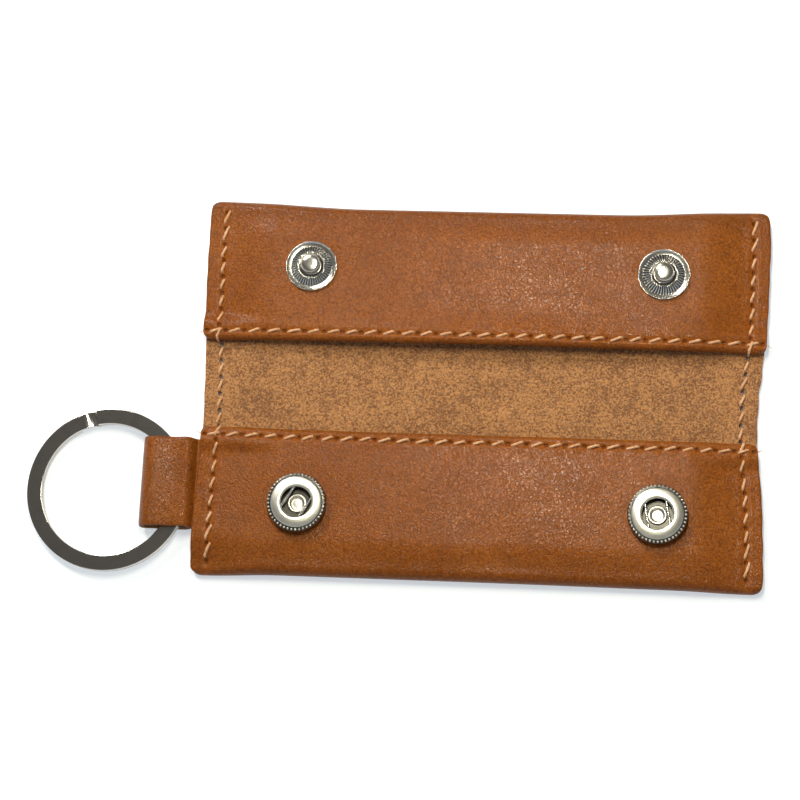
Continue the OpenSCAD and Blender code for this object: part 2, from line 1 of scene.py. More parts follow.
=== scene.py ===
"""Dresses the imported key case: leather, thread, snap fasteners, spring wires and split ring.

Lengths below are in millimetres and are turned to metres where a mesh is finished.
X runs along the case, +Y towards the half with the studs, +Z up.
"""

import math
import random

import bmesh
import bpy
from mathutils import Matrix, Vector, noise


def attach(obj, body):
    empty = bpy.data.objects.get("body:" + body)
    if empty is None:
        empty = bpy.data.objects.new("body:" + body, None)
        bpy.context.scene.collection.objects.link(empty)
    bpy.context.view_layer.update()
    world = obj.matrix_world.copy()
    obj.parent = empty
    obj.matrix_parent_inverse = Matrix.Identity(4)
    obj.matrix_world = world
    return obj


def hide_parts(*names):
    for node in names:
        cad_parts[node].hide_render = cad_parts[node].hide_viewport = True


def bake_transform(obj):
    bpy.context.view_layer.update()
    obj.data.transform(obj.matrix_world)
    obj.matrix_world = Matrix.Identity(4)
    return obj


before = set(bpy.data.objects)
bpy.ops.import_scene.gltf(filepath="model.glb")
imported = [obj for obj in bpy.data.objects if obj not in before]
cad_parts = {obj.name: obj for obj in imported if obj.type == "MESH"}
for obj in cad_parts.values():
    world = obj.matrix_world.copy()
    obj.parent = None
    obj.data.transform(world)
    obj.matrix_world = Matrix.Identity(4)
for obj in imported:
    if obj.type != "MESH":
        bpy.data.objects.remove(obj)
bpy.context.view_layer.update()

MM = 0.001

# Shell leather
HALF_W, HALF_D = 52.2, 36.0
LEATHER, HEM, SEAM_GAP, WAIST = 1.2, 0.8, 0.2, 0.9
CORNER_R, MOUTH_R, MOUTH_V = 2.0, 1.5, 8.5
FOLD_H, FACE_Z, FOLD_V = 3.6, 4.2, 34.2
FLAT_NEAR, FLAT_FAR = 16.35, 28.85
HEM_D, HEM_STEP, HEM_END = 5.0, 2.0, 3.8
SEAM_IN, CROWN_RUN = 3.0, 10.0
NOSE_R, SLIVER, FLESH_REACH = 1.0, 0.02, 1.0
UPPER = {"way": 1, "gap": 0.8, "lift": 1.0, "strap": False}
LOWER = {"way": -1, "gap": 0.7, "lift": 0.0, "strap": True}

# Rows of the sheet's mesh
BACK_ROWS, FOLD_ROWS, NOSE_ROWS = 58, 14, 10
ROW_STEP, FINE_REACH = 0.5, 2.8
FINE_ROWS = (2.6, 2.3, 2.0, 1.75, 1.5, 1.25)
HEM_ROWS = (1.6, 2.2, 2.8, 3.4, HEM_END)

# Worn edges and slow unevenness of the leather
EDGE_W, EDGE_SINK = 0.16, 0.10
RIPPLE, RIPPLE_LENGTH, RIPPLE_REACH = 0.10, 5.5, 3
JITTER, JITTER_LENGTH, JITTER_REACH = 0.10, 2.6, 4
WAVE, WAVE_LENGTH = 0.16, 17
WAVELET, WAVELET_LENGTH = 0.07, 7.5
CALM_R, CALM_RUN = 5, 4

# Seams
SIDE_PITCH, HEM_PITCH, HEM_LINE = 3.2, 3.5, 10.1
LAST_HOLE, THREAD_R, ON_FLAP_Z = 33.6, 0.26, 1.9
SEAM_SHARE = 1 - SEAM_IN / HALF_W
LINE_END, LINE_FADE = 0.8, 0.6
CHANNEL_DEPTH, CHANNEL_W = 0.12, 0.5
HOLE_DEPTH, HOLE_W = 0.30, 0.45
SWELL, SWELL_AT, SWELL_W, SWELL_GAP = 0.12, 0.95, 0.5, 0.8
BACK_CHANNEL, FLESH_PRESS = 0.34, 0.6
SEWN_TWICE = (0, 1, 19, 20)

# Strap and ring
STRAP_NEAR, STRAP_FAR, STRAP_T = 10.8, 27.4, 0.9
STRAP_STACK, TAIL_IN = 1.9, 5.0
ROOT_X, ROOT_Z = -52.143, 1.25
LOOP_END, STRAP_TOP = -62.29, 4.56
TAIL_ROOM, LIFT_RUN = 0.3, 13
STRAP_ARCH, ARCH_RISE, ARCH_START, ARCH_FALL = 0.75, 0.25, 0.12, 0.75
RING_R, STRIP_W, STRIP_T, TURN_GAP = 15.25, 2.8, 0.9, 0.05
RING_AT, RING_LIFT, RING_TILT, RING_END = (-68.643, -20.7), 0.798, 3.0, 102.0
STEP_TURN, END_ROOM = 11.0, 4.0
STEP_FROM, STEP_SLOPE, STEP_SOFT = 350, 0.055, 0.5
STEEP_FROM, STEEP_RUN = (351.5, 356), (8.5, 4.0)

# Snap fasteners
SNAP_X, SNAP_V = 32.8, 22.6
FLUTES, FLUTE_DEPTH = 44, 0.08
BEADS, BEAD_R, BEAD_AT, BEAD_Z = 45, 0.22, 5.12, 1.97
WIRE_R, WIRE_Z = 0.25, 1.75


def held(s):
    return min(1.0, max(0.0, s))


def smooth(s):
    k = held(s)
    return k * k * (3 - 2 * k)


def mix(a, b, share):
    return a + (b - a) * share


def bell(d, width):
    return math.exp(-(d / width) ** 2)


# The shape of the shell, as the frame's solids have it


def corner_loss(v, start, r):
    return 0.0 if v <= start else r - math.sqrt(max(0.0, r * r - min(v - start, r) ** 2))


def width_at(v):
    waist = WAIST * math.cos(math.radians(90 * held(v / HALF_D))) ** 2
    return HALF_W - waist - corner_loss(v, HALF_D - CORNER_R, CORNER_R)


def flap_width_at(v):
    return width_at(v) - corner_loss(MOUTH_V - v, -MOUTH_R, MOUTH_R)


def crown(u):
    return smooth(((1 - abs(u)) * HALF_W - SEAM_IN) / CROWN_RUN)


def fold_radius(u):
    return mix(LEATHER + SEAM_GAP / 2, FOLD_H / 2, crown(u))


def skin_at(v):
    return LEATHER + HEM * smooth((MOUTH_V + HEM_D - v) / HEM_STEP)


def strap_lift(u, v):
    if u > 0:
        return 0.0
    near = 1 - smooth((STRAP_NEAR - TAIL_ROOM - v) / (2 * (STRAP_NEAR - MOUTH_V)))
    far = 1 - smooth((v - FLAT_FAR) / (FOLD_V - FLAT_FAR))
    across = 1 - smooth(((1 - abs(u)) * HALF_W - TAIL_IN - TAIL_ROOM) / LIFT_RUN)
    return across * min(near, far)


def flap_top(u, v, half):
    seam = LEATHER + SEAM_GAP + skin_at(v)
    lift = half["lift"] * math.cos(math.radians(90 * u)) ** 2
    mouth = LEATHER + half["gap"] + lift + skin_at(MOUTH_V)
    if v > FLAT_FAR:
        middle = mix(FACE_Z, FOLD_H, smooth((v - FLAT_FAR) / (FOLD_V - FLAT_FAR)))
    else:
        middle = mix(FACE_Z, mouth, smooth((FLAT_NEAR - v) / (FLAT_NEAR - MOUTH_V)))
    top = mix(seam, middle, crown(u))
    if half["strap"]:
        top = mix(top, LEATHER + STRAP_STACK + skin_at(v), strap_lift(u, v))
    return top


def seam_x(v):
    return SEAM_SHARE * width_at(abs(v))


# How far the real edges stray in X from the even outline, as pairs of Y and shift
STRAY = {
    ("flap", -1): ((-36, 0.0), (-10, 0.0), (9, -1.2), (17, -0.9), (36, -0.55)),
    ("flap", 1): ((-36, -0.2), (-20, -0.25), (-9, -0.85), (9, 0.42), (16, 0.4), (28, 0.25), (36, -0.1)),
    ("back", -1): ((-36, 0.0), (-10, -0.15), (-8, -0.42), (0, -0.7), (8, -0.9), (36, -0.6)),
    ("back", 1): ((-36, -0.2), (-20, -0.3), (-7, -0.88), (1, -0.58), (5, -0.13), (9, 0.1), (36, -0.1)),
}

# How far the folded edges draw in between their corners
BOW_CORNER, BOW_UPPER, BOW_UPPER_RUN = 0.25, 1.1, 28
BOW_LOWER, BOW_LOWER_RUN = 0.4, 16
BOW_FROM, BOW_RUN = 18, 18


def stray(x, y, layer):
    table = STRAY[(layer, -1 if x < 0 else 1)]
    share = smooth((abs(x) / HALF_W - 0.55) / 0.35)
    for (y0, s0), (y1, s1) in zip(table, table[1:]):
        if y <= y1:
            return share * mix(s0, s1, smooth((y - y0) / (y1 - y0)))
    return share * table[-1][1]


def fold_bow(u, v, half):
    """How far the folded edge draws in at a point, more on the upper half than on the lower one."""
    from_side = (1 - abs(u)) * HALF_W
    if half["way"] > 0:
        bow = BOW_CORNER + BOW_UPPER * smooth(from_side / BOW_UPPER_RUN)
    else:
        bow = BOW_LOWER * smooth(from_side / BOW_LOWER_RUN) * (1 - 0.5 * smooth(u))
    return bow * smooth((v - BOW_FROM) / BOW_RUN)


# Meshes


def finish_piece(bm, name, materials, smooth_angle=None):
    """Turns a bmesh in millimetres into an object in metres, with its place in its mesh."""
    bmesh.ops.scale(bm, vec=(MM, MM, MM), verts=bm.verts)
    mesh = bpy.data.meshes.new(name)
    bm.to_mesh(mesh)
    bm.free()
    obj = bpy.data.objects.new(name, mesh)
    bpy.context.scene.collection.objects.link(obj)
    for material in materials:
        mesh.materials.append(material)
    for polygon in mesh.polygons:
        polygon.use_smooth = True
    if smooth_angle:
        mesh.set_sharp_from_angle(angle=math.radians(smooth_angle))
    return obj


def mark(obj, name, values):
    """Stores one number for each vertex, for a material to read."""
    layer = obj.data.attributes.new(name, "FLOAT", "POINT")
    layer.data.foreach_set("value", values)


def spun(profile, steps):
    """A shape turned round Z from a profile of radius and height pairs."""
    bm = bmesh.new()
    line = [bm.verts.new((r, 0, z)) for r, z in profile]
    edges = [bm.edges.new(pair) for pair in zip(line, line[1:])]
    bmesh.ops.spin(
        bm, geom=line + edges, cent=(0, 0, 0), axis=(0, 0, 1), angle=math.tau, steps=steps, use_merge=True
    )
    bmesh.ops.remove_doubles(bm, verts=bm.verts, dist=1e-4)
    bmesh.ops.recalc_face_normals(bm, faces=bm.faces)
    return bm


def rounded(points, r, steps=4):
    """An outline of radius and height pairs whose inner corners are rounded."""
    out = [Vector(points[0])]
    for before, at, after in zip(points, points[1:], points[2:]):
        a, p, b = Vector(before), Vector(at), Vector(after)
        run = min(r, (a - p).length * 0.45, (b - p).length * 0.45)
        start, end = p + (a - p).normalized() * run, p + (b - p).normalized() * run
        for k in range(steps + 1):
            t = k / steps
            out.append(start * (1 - t) ** 2 + p * 2 * t * (1 - t) + end * t * t)
    out.append(Vector(points[-1]))
    return [tuple(p) for p in out]


def bar(bm, path, ring_points):
    """A closed bar swept along a path in the bmesh bm. ring_points(k, share) gives its section there."""
    count = len(path)
    sides = len(ring_points(0, 0))
    start = len(bm.verts)
    made = bmesh.ops.create_cone(
        bm, cap_ends=True, cap_tris=False, segments=sides, radius1=1, radius2=1, depth=1
    )["verts"]
    long_edges = [
        e for e in {e for v in made for e in v.link_edges} if abs(e.verts[0].co.z - e.verts[1].co.z) > 0.5
    ]
    bmesh.ops.subdivide_edges(bm, edges=long_edges, cuts=count - 2, use_grid_fill=False)
    bm.verts.ensure_lookup_table()
    for v in bm.verts[start:]:
        k = min(count - 1, max(0, round((v.co.z + 0.5) * (count - 1))))
        side = round(math.atan2(v.co.x, v.co.y) / math.tau * sides) % sides
        ahead = Vector(path[min(count - 1, k + 1)]) - Vector(path[max(0, k - 1)])
        ahead.normalize()
        across = ahead.cross(Vector((0, 0, 1))).normalized()
        a, b = ring_points(k, k / (count - 1))[side]
        v.co = Vector(path[k]) + across * a + across.cross(ahead) * b


def round_section(r, sides):
    return [(r * math.cos(math.tau * k / sides), r * math.sin(math.tau * k / sides)) for k in range(sides)]


def two_sided_grid(columns, rows):
    """A grid with a second layer over it, and each vertex's column, row and whether it is on top."""
    bm = bmesh.new()
    bmesh.ops.create_grid(bm, x_segments=columns - 1, y_segments=rows - 1, size=0.5)
    made = bmesh.ops.extrude_face_region(bm, geom=bm.faces[:])["geom"]
    over = {v for v in made if isinstance(v, bmesh.types.BMVert)}
    place = {}
    for v in bm.verts:
        i, j = round((v.co.x + 0.5) * (columns - 1)), round((v.co.y + 0.5) * (rows - 1))
        place[v] = (i, j, v in over)
    return bm, place


def sheet_slot(corners):
    """Material slot of a sheet's face: 0 for its grain side, 1 for its flesh side, 2 for its cut edge."""
    tops = [corner[2] for corner in corners]
    return 0 if all(tops) else 2 if any(tops) else 1


# Leather shell


def seam_dent(across, along, pitch, face):
    """How deep a row of stitches presses the leather, at a distance across and along it."""
    to_hole = abs((along / pitch) % 1 - 0.5) * pitch
    channel = CHANNEL_DEPTH * bell(across, CHANNEL_W)
    hole = HOLE_DEPTH * bell(math.hypot(across, to_hole), HOLE_W)
    beside = bell(across - SWELL_AT, SWELL_W) + bell(across + SWELL_AT, SWELL_W)
    swell = SWELL * (1 - 0.8 * bell(to_hole, SWELL_GAP)) * beside
    return (channel + hole - swell) * face


def dent_at(x, v, zone):
    side_across = abs(x) - seam_x(v)
    if zone == "back":
        return BACK_CHANNEL * bell(side_across, CHANNEL_W) * smooth((LAST_HOLE + LINE_END - v) / LINE_FADE)
    dent = seam_dent(side_across, v, SIDE_PITCH, FLESH_PRESS if zone == "flesh" else 1.0)
    if zone == "flap":
        dent += seam_dent(v - HEM_LINE, x, HEM_PITCH, 1.0) * smooth((HALF_W - abs(x)) / 1.5)
    return dent


def soft_wave(x, v, way):
    """Slow unevenness of the flap, which the leather's sheen shows. It stays flat round the fasteners."""
    p = Vector((x, v * way, 3.0 * way))
    calm = smooth((math.hypot(abs(x) - SNAP_X, v - SNAP_V) - CALM_R) / CALM_RUN)
    wave = WAVE * noise.noise(p / WAVE_LENGTH)
    return (wave + WAVELET * noise.noise(p / WAVELET_LENGTH + Vector((5, 1, 2)))) * calm


def sheet_rows():
    """The sheet's rows from the case's middle to the end of the turned hem: zone, and share, turn or Y."""
    rows = [("back", k / BACK_ROWS) for k in range(BACK_ROWS)]
    rows += [("fold", 180 * k / FOLD_ROWS) for k in range(FOLD_ROWS + 1)]
    v = FOLD_V - ROW_STEP
    while v > MOUTH_V + FINE_REACH:
        rows.append(("flap", v))
        v -= ROW_STEP
    rows += [("flap", MOUTH_V + d) for d in FINE_ROWS]
    rows += [("nose", 180 * k / NOSE_ROWS) for k in range(NOSE_ROWS + 1)]
    rows += [("hem", MOUTH_V + d) for d in HEM_ROWS]
    return rows


def sheet_shares():
    ds = [0, 0.08, 0.22, 0.45, 0.85, 1.3, 1.75, 2.15, 2.5, 2.75, 3.0, 3.25, 3.5, 3.85, 4.25]
    while ds[-1] < HALF_W - 0.75:
        ds.append(ds[-1] + 0.5)
    left = [d / HALF_W - 1 for d in ds]
    return left + [0.0] + [-u for u in reversed(left)]


def sheet_point(u, row, outer, half):
    """A point of the sheet, the way it faces, and the zone that it lies in."""
    kind, value = row
    r = fold_radius(u)
    if kind == "back":
        v = value * (HALF_D - r)
        point = Vector((u * width_at(v), v, 0 if outer else LEATHER))
        face = Vector((0, 0, -1 if outer else 1))
        zone = "back" if outer else ("flesh" if v < MOUTH_V + FLESH_REACH else "inside")
    elif kind == "fold":
        a = math.radians(value - 90)
        reach = r if outer else r - LEATHER
        v = HALF_D - r + reach * math.cos(a)
        point = Vector((u * width_at(v), v, r + reach * math.sin(a)))
        face = Vector((0, math.cos(a), math.sin(a))) * (1 if outer else -1)
        zone = "fold" if outer else "inside"
    elif kind == "flap":
        v = value
        z = flap_top(u, v, half) - (0 if outer else LEATHER)
        point, face = Vector((u * flap_width_at(v), v, z)), Vector((0, 0, 1 if outer else -1))
        zone = "flap" if outer else "inside"
    elif kind == "nose":
        a = math.radians(value)
        middle_v = MOUTH_V + NOSE_R
        top = flap_top(u, middle_v, half)
        reach = NOSE_R if outer else SLIVER
        v = middle_v - reach * math.sin(a)
        z = top - (NOSE_R if outer else LEATHER) + reach * math.cos(a)
        point = Vector((u * flap_width_at(max(v, MOUTH_V)), v, z))
        face = Vector((0, -math.sin(a), math.cos(a))) * (1 if outer else -1)
        zone = "nose" if outer else "inside"
    else:
        v = value
        z = flap_top(u, v, half) - (skin_at(v) if outer else LEATHER + SLIVER)
        point, face = Vector((u * flap_width_at(v), v, z)), Vector((0, 0, -1 if outer else 1))
        zone = "hem"
    return point, face, zone


def outline_shift(point, row, way):
    """How far the real outline strays in X at a vertex of the sheet."""
    if row[0] == "fold":
        low, high = stray(point.x, HALF_D * way, "back"), stray(point.x, HALF_D * way, "flap")
        return mix(low, high, row[1] / 180)
    return stray(point.x, point.y * way, "back" if row[0] == "back" else "flap")


def worn_point(u, row, outer, half):
    """A vertex of the used sheet: its place, its place in the even outline, its darkening at worn edges
    with painted shade at the fold's and nose's crest, and its painted shade towards the far fold.
    """
    point, face, zone = sheet_point(u, row, outer, half)
    x, along = point.x, point.y
    from_side = (1 - abs(u)) * HALF_W
    edge = bell(from_side, EDGE_W)
    shift = -EDGE_SINK * edge
    if zone in ("flap", "back", "flesh"):
        shift -= dent_at(x, along, zone)
    if row[0] in ("flap", "nose", "hem"):
        fade = smooth((from_side - 1.0) / 8) * smooth((FOLD_V + 1 - along) / 4)
        point.z += soft_wave(x, along, half["way"]) * fade
        if row[0] == "nose" or along < MOUTH_V + RIPPLE_REACH:
            ripple = RIPPLE * noise.noise(Vector((x / RIPPLE_LENGTH, half["way"] * 3.1, 0.4)))
            point.z += ripple * fade
            point.y += 0.5 * ripple
    point += face * shift
    jitter = JITTER * noise.noise(Vector((point.y / JITTER_LENGTH, math.copysign(4, u), half["way"])))
    point.x += jitter * bell(from_side, JITTER_REACH)
    if zone == "back":
        point.z = max(point.z, 0.0)
    even = (point.x * MM, point.y * MM, point.z * MM)
    point.y -= fold_bow(u, point.y, half)
    point.x += outline_shift(point, row, half["way"])
    # Darker at the worn side edges, with painted shade along the crest of the fold and of the nose.
    wear_and_shade = held(edge + 0.5 * bell(row[1] - 90, 40) * (row[0] in ("fold", "nose")))
    # Painted shade: the flap and fold darken towards the far fold.
    dark = held(smooth((along - 29.5) / 6) if row[0] in ("flap", "fold") else 0.0)
    return (point.x, point.y * half["way"], point.z), even, wear_and_shade, dark


def leather_half(name, half, materials):
    """One half of the shell: back, fold, flap and turned hem as one sheet with real thickness."""
    rows, shares = sheet_rows(), sheet_shares()
    bm, place = two_sided_grid(len(shares), len(rows))
    facts = {v: worn_point(shares[i], rows[j], outer, half) for v, (i, j, outer) in place.items()}
    for v, fact in facts.items():
        v.co = fact[0]
    for f in bm.faces:
        corners = [place[v] for v in f.verts]
        at_middle = all(corner[1] == 0 for corner in corners)
        slot = sheet_slot(corners)
        f.material_index = 1 if slot == 2 and at_middle else slot
    bmesh.ops.recalc_face_normals(bm, faces=bm.faces)
    bm.verts.index_update()
    even, wear_and_shade, dark = ([facts[v][k] for v in bm.verts] for k in (1, 2, 3))
    obj = finish_piece(bm, name, materials, smooth_angle=50)
    # Darker at worn edges with painted shade at the crests; painted shade towards the far fold.
    mark(obj, "rub_and_shade", wear_and_shade)
    mark(obj, "shade", dark)
    layer = obj.data.attributes.new("flat", "FLOAT_VECTOR", "POINT")
    layer.data.foreach_set("vector", [c for place in even for c in place])
    return obj


# Thread


def thread_ring(twist, r=THREAD_R, plies=3, sides=15):
    def ring(k, share):
        out = []
        for s in range(sides):
            a = math.tau * s / sides
            swell = r * (0.90 + 0.13 * math.cos(plies * a - math.tau * plies * twist * share))
            out.append((swell * math.cos(a), swell * math.sin(a)))
        return out

    return ring


def stitch(bm, start, end, surface, rng, out=1.0, lean=1):
    """One thread from hole to hole, drawn down into both. surface(x, y) is the height it lies on."""
    steps = 16
    a, b = Vector(start), Vector(end)
    ahead = (b - a).normalized()
    side = Vector((-ahead.y, ahead.x))
    slant = rng.uniform(0.24, 0.38) * lean
    drift = rng.uniform(-0.06, 0.06)
    first, last = rng.uniform(0.10, 0.16), rng.uniform(0.80, 0.88)
    path = []
    for k in range(steps):
        s = k / (steps - 1)
        t = mix(first, last, s)
        flat = a + (b - a) * t + side * (slant * (2 * smooth(s) - 1) + drift)
        dive = 0.85 * (bell(s, 0.13) + bell(s - 1.0, 0.13))
        rise = THREAD_R * 0.5 + 0.10 * math.sin(math.pi * s) - dive
        path.append((flat.x, flat.y, surface(flat.x, flat.y) + out * rise))
    bar(bm, path, thread_ring(rng.uniform(0.9, 1.2) * (b - a).length / SIDE_PITCH))


def loose_end(bm, points, rng, r=0.10, strands=3):
    """The frayed end of a thread: a few thin strands that part along their length."""
    for s in range(strands):
        away = Vector((rng.uniform(-1, 1), rng.uniform(-1, 1), rng.uniform(0, 0.7)))
        path = []
        for k, p in enumerate(points):
            t = k / (len(points) - 1)
            path.append(Vector(p) + away * 0.22 * t * t)
        bar(bm, path, lambda k, share: round_section(r * (1 - 0.7 * share), 6))


def face_height(x, y):
    """Height of the open case's upper side under a stitch."""
    v = abs(y)
    if v < MOUTH_V:
        return LEATHER
    half = UPPER if y > 0 else LOWER
    u = max(-1.0, min(1.0, x / flap_width_at(v)))
    return flap_top(u, v, half) - 0.1


def seam_hole(side, y, layer):
    x = side * seam_x(y)
    return (x + stray(x, y, layer), y)


def side_seam(name, side, from_k, to_k, material, seed):
    """The stitches of one side seam between two of its holes, on the face and on the back."""
    rng = random.Random(seed)
    bm = bmesh.new()
    for k in range(from_k, to_k):
        y0, y1 = LAST_HOLE - SIDE_PITCH * k, LAST_HOLE - SIDE_PITCH * (k + 1)
        start, end = seam_hole(side, y0, "flap"), seam_hole(side, y1, "flap")
        if abs(y0 + y1) < 2 * MOUTH_V:
            start, end = seam_hole(side, y0, "back"), seam_hole(side, y1, "back")
        stitch(bm, start, end, face_height, rng, lean=-1)
        low, high = seam_hole(side, y0, "back"), seam_hole(side, y1, "back")
        stitch(bm, low, high, lambda x, y: BACK_CHANNEL, rng, out=-0.3)
        if k in SEWN_TWICE:
            again = (start[0] + 0.3, y0 + 0.8), (end[0] + 0.3, y1 + 0.8)
            stitch(bm, *again, face_height, rng, lean=-1)
    return finish_piece(bm, name, [material])


def hem_seam(name, half, material, seed):
    rng = random.Random(seed)
    bm = bmesh.new()
    line = half["way"] * HEM_LINE
    for k in range(-14, 15):
        x0, x1 = (k - 0.5) * HEM_PITCH, (k + 0.5) * HEM_PITCH
        start, end = (x0 + stray(x0, line, "flap"), line), (x1 + stray(x1, line, "flap"), line)
        stitch(bm, start, end, face_height, rng)
    for side in (-1, 1):
        x0 = side * width_at(HEM_LINE)
        x0 += stray(x0, line, "flap") - side * 0.5
        z = face_height(x0, line) - 0.5
        steps = [(-0.3, 0, -0.2), (0.35, 0.05, 0.1), (0.7, 0.15, 0.12), (1.0, 0.3, 0.08), (1.25, 0.55, 0.0)]
        loose_end(bm, [(x0 + side * a, line - half["way"] * b, z + c) for a, b, c in steps], rng)
    return finish_piece(bm, name, [material])


# Strap


def strap_path():
    """The strap's centre line in X and Z: lower tail, lower layer, round end, upper layer, upper tail."""
    t = STRAP_T / 2
    low, high, end = t + SLIVER, STRAP_TOP - t, LOOP_END + t
    corners = [
        (ROOT_X + TAIL_IN, ROOT_Z + t),
        (ROOT_X - 0.25, ROOT_Z + t),
        (ROOT_X - 1.7, low),
        (end, low),
        (end, high),
        (ROOT_X - 1.5, high),
        (ROOT_X - 0.25, ROOT_Z + 3 * t),
        (ROOT_X + TAIL_IN, ROOT_Z + 3 * t),
    ]
    radii = [0, 0.8, 0.9, 1.45, 1.45, 1.1, 0.8, 0]
    out = [Vector(corners[0])]
    for i in range(1, len(corners) - 1):
        a, p, b = Vector(corners[i - 1]), Vector(corners[i]), Vector(corners[i + 1])
        run = radii[i] * math.tan((math.pi - (a - p).angle(b - p)) / 2)
        run = min(run, (a - p).length * 0.49, (b - p).length * 0.49)
        start, stop = p + (a - p).normalized() * run, p + (b - p).normalized() * run
        for k in range(9):
            s = k / 8
            out.append(start * (1 - s) ** 2 + p * 2 * s * (1 - s) + stop * s * s)
    out.append(Vector(corners[-1]))
    spaced = [out[0]]
    for p in out[1:]:
        last = spaced[-1]
        count = max(1, int((p - last).length / 0.3))
        spaced += [last.lerp(p, (k + 1) / count) for k in range(count)]
    return [p for k, p in enumerate(spaced) if k == 0 or (p - spaced[k - 1]).length > 1e-6]


def strap_widths():
    """Distances across the strap at which its mesh has a line, closer together at its edges."""
    total = STRAP_FAR - STRAP_NEAR
    widths = [0, 0.1, 0.28, 0.6, 1.0]
    while widths[-1] < total - 1.4:
        widths.append(widths[-1] + 0.5)
    return [w for w in widths if w < total - 1.2] + [total - d for d in (1.0, 0.6, 0.28, 0.1, 0)]


def strap_point(path, i, across, outer):
    """A vertex of the strap at a step of its path and a distance across it, and how dark it is: worn at its
    edges, with painted shade at its loop end.
    """
    total = STRAP_FAR - STRAP_NEAR
    ahead = (path[min(len(path) - 1, i + 1)] - path[max(0, i - 1)]).normalized()
    normal = Vector((-ahead.y, ahead.x))
    edge = bell(min(across, total - across), 0.2)
    reach = STRAP_T / 2 * (1 - 0.22 * edge)
    p = path[i] + normal * (reach if outer else -reach)
    share = across / total
    y = -(STRAP_NEAR + across)
    y += 0.14 * noise.noise(Vector((p.x / 3.1, share * 2, p.y / 2))) * edge
    z = p.y
    if p.y > 2.2:
        free = smooth((ROOT_X - 1.5 - p.x) / 3)
        along = held((p.x - LOOP_END) / (ROOT_X - 1.5 - LOOP_END))
        z -= 0.22 * free * (2 * share - 1) ** 4
        z += STRAP_ARCH * smooth(along / ARCH_RISE) * (1 - smooth((along - ARCH_START) / ARCH_FALL))
        z += 0.08 * free * noise.noise(Vector((p.x / 4, y / 6, 9)))
    # Darker at the worn edges, with painted shade at the loop's round end.
    return (p.x, y, max(z, 0.0)), held(edge + 0.4 * bell(p.x - LOOP_END, 1.2))


def strap_loop(materials):
    path, widths = strap_path(), strap_widths()
    bm, place = two_sided_grid(len(path), len(widths))
    rub_and_shade = {}
    for v, (i, j, outer) in place.items():
        v.co, rub_and_shade[v] = strap_point(path, i, widths[j], outer)
    for f in bm.faces:
        f.material_index = sheet_slot([place[v] for v in f.verts])
    bmesh.ops.recalc_face_normals(bm, faces=bm.faces)
    bm.verts.index_update()
    rub_and_shade_values = [rub_and_shade[v] for v in bm.verts]
    obj = finish_piece(bm, "strap", materials, smooth_angle=50)
    # Darker at worn edges, with painted shade at the loop end.
    mark(obj, "rub_and_shade", rub_and_shade_values)
    mark(obj, "shade", [0.0] * len(rub_and_shade_values))
    return obj


# Split ring


def strip_section():
    """The strip's section: a rectangle with rounded edges, each held by a point beside it."""
    w, t = STRIP_W / 2, STRIP_T / 2
    e, hold = 0.13, 0.05
    section = []
    for cx, cy, a0 in ((w - e, t - e, 0), (-w + e, t - e, 90), (-w + e, -t + e, 180), (w - e, -t + e, 270)):
        for q in range(-1, 5):
            a = math.radians(a0 + 30 * held(q / 3) * 3)
            back = hold if q == -1 else 0
            on = hold if q == 4 else 0
            px = cx + e * math.cos(a) + back * math.sin(a) - on * math.sin(a)
            py = cy + e * math.sin(a) - back * math.cos(a) + on * math.cos(a)
            section.append((px, py))
    return section


def strip_fall(s, side):
    """How far the strip has come down at a turn, in its inner half by a gentle slope first."""
    inner = smooth(0.5 + side * 1.2)
    gentle = STEP_SLOPE * max(0.0, s - STEP_FROM) * inner
    steep = smooth((s - mix(*STEEP_FROM, inner)) / mix(*STEEP_RUN, inner))
    return mix(min(gentle, STEP_SOFT), STRIP_T + TURN_GAP, steep)


def ring_piece(material):
    """Flat strip wound two turns, which steps down beside its own end."""
    total = 720 - STEP_TURN - END_ROOM
    turns = [0.0]
    while turns[-1] < total - 1:
        turns.append(turns[-1] + (0.5 if 340 < turns[-1] < 361 else 1.75))
    path = []
    for s in turns:
        a = math.radians(RING_END - s)
        pinch = 0.10 * bell(s - 360 + STEP_TURN / 2, 9)
        r = RING_R - STRIP_W / 2 - pinch
        path.append((r * math.cos(a), r * math.sin(a), STRIP_T * 1.5 + TURN_GAP))
    section = strip_section()
    bm = bmesh.new()
    bar(bm, path, lambda k, share: [
        (px, py - strip_fall(turns[k], px / (STRIP_W / 2))) for px, py in section
    ])
    bmesh.ops.recalc_face_normals(bm, faces=bm.faces)
    place = Matrix.Translation((RING_AT[0], RING_AT[1], RING_LIFT))
    bm.transform(place @ Matrix.Rotation(-math.radians(RING_TILT), 4, "Y"))
    return finish_piece(bm, "ring", [material], smooth_angle=40)


# Snap fasteners


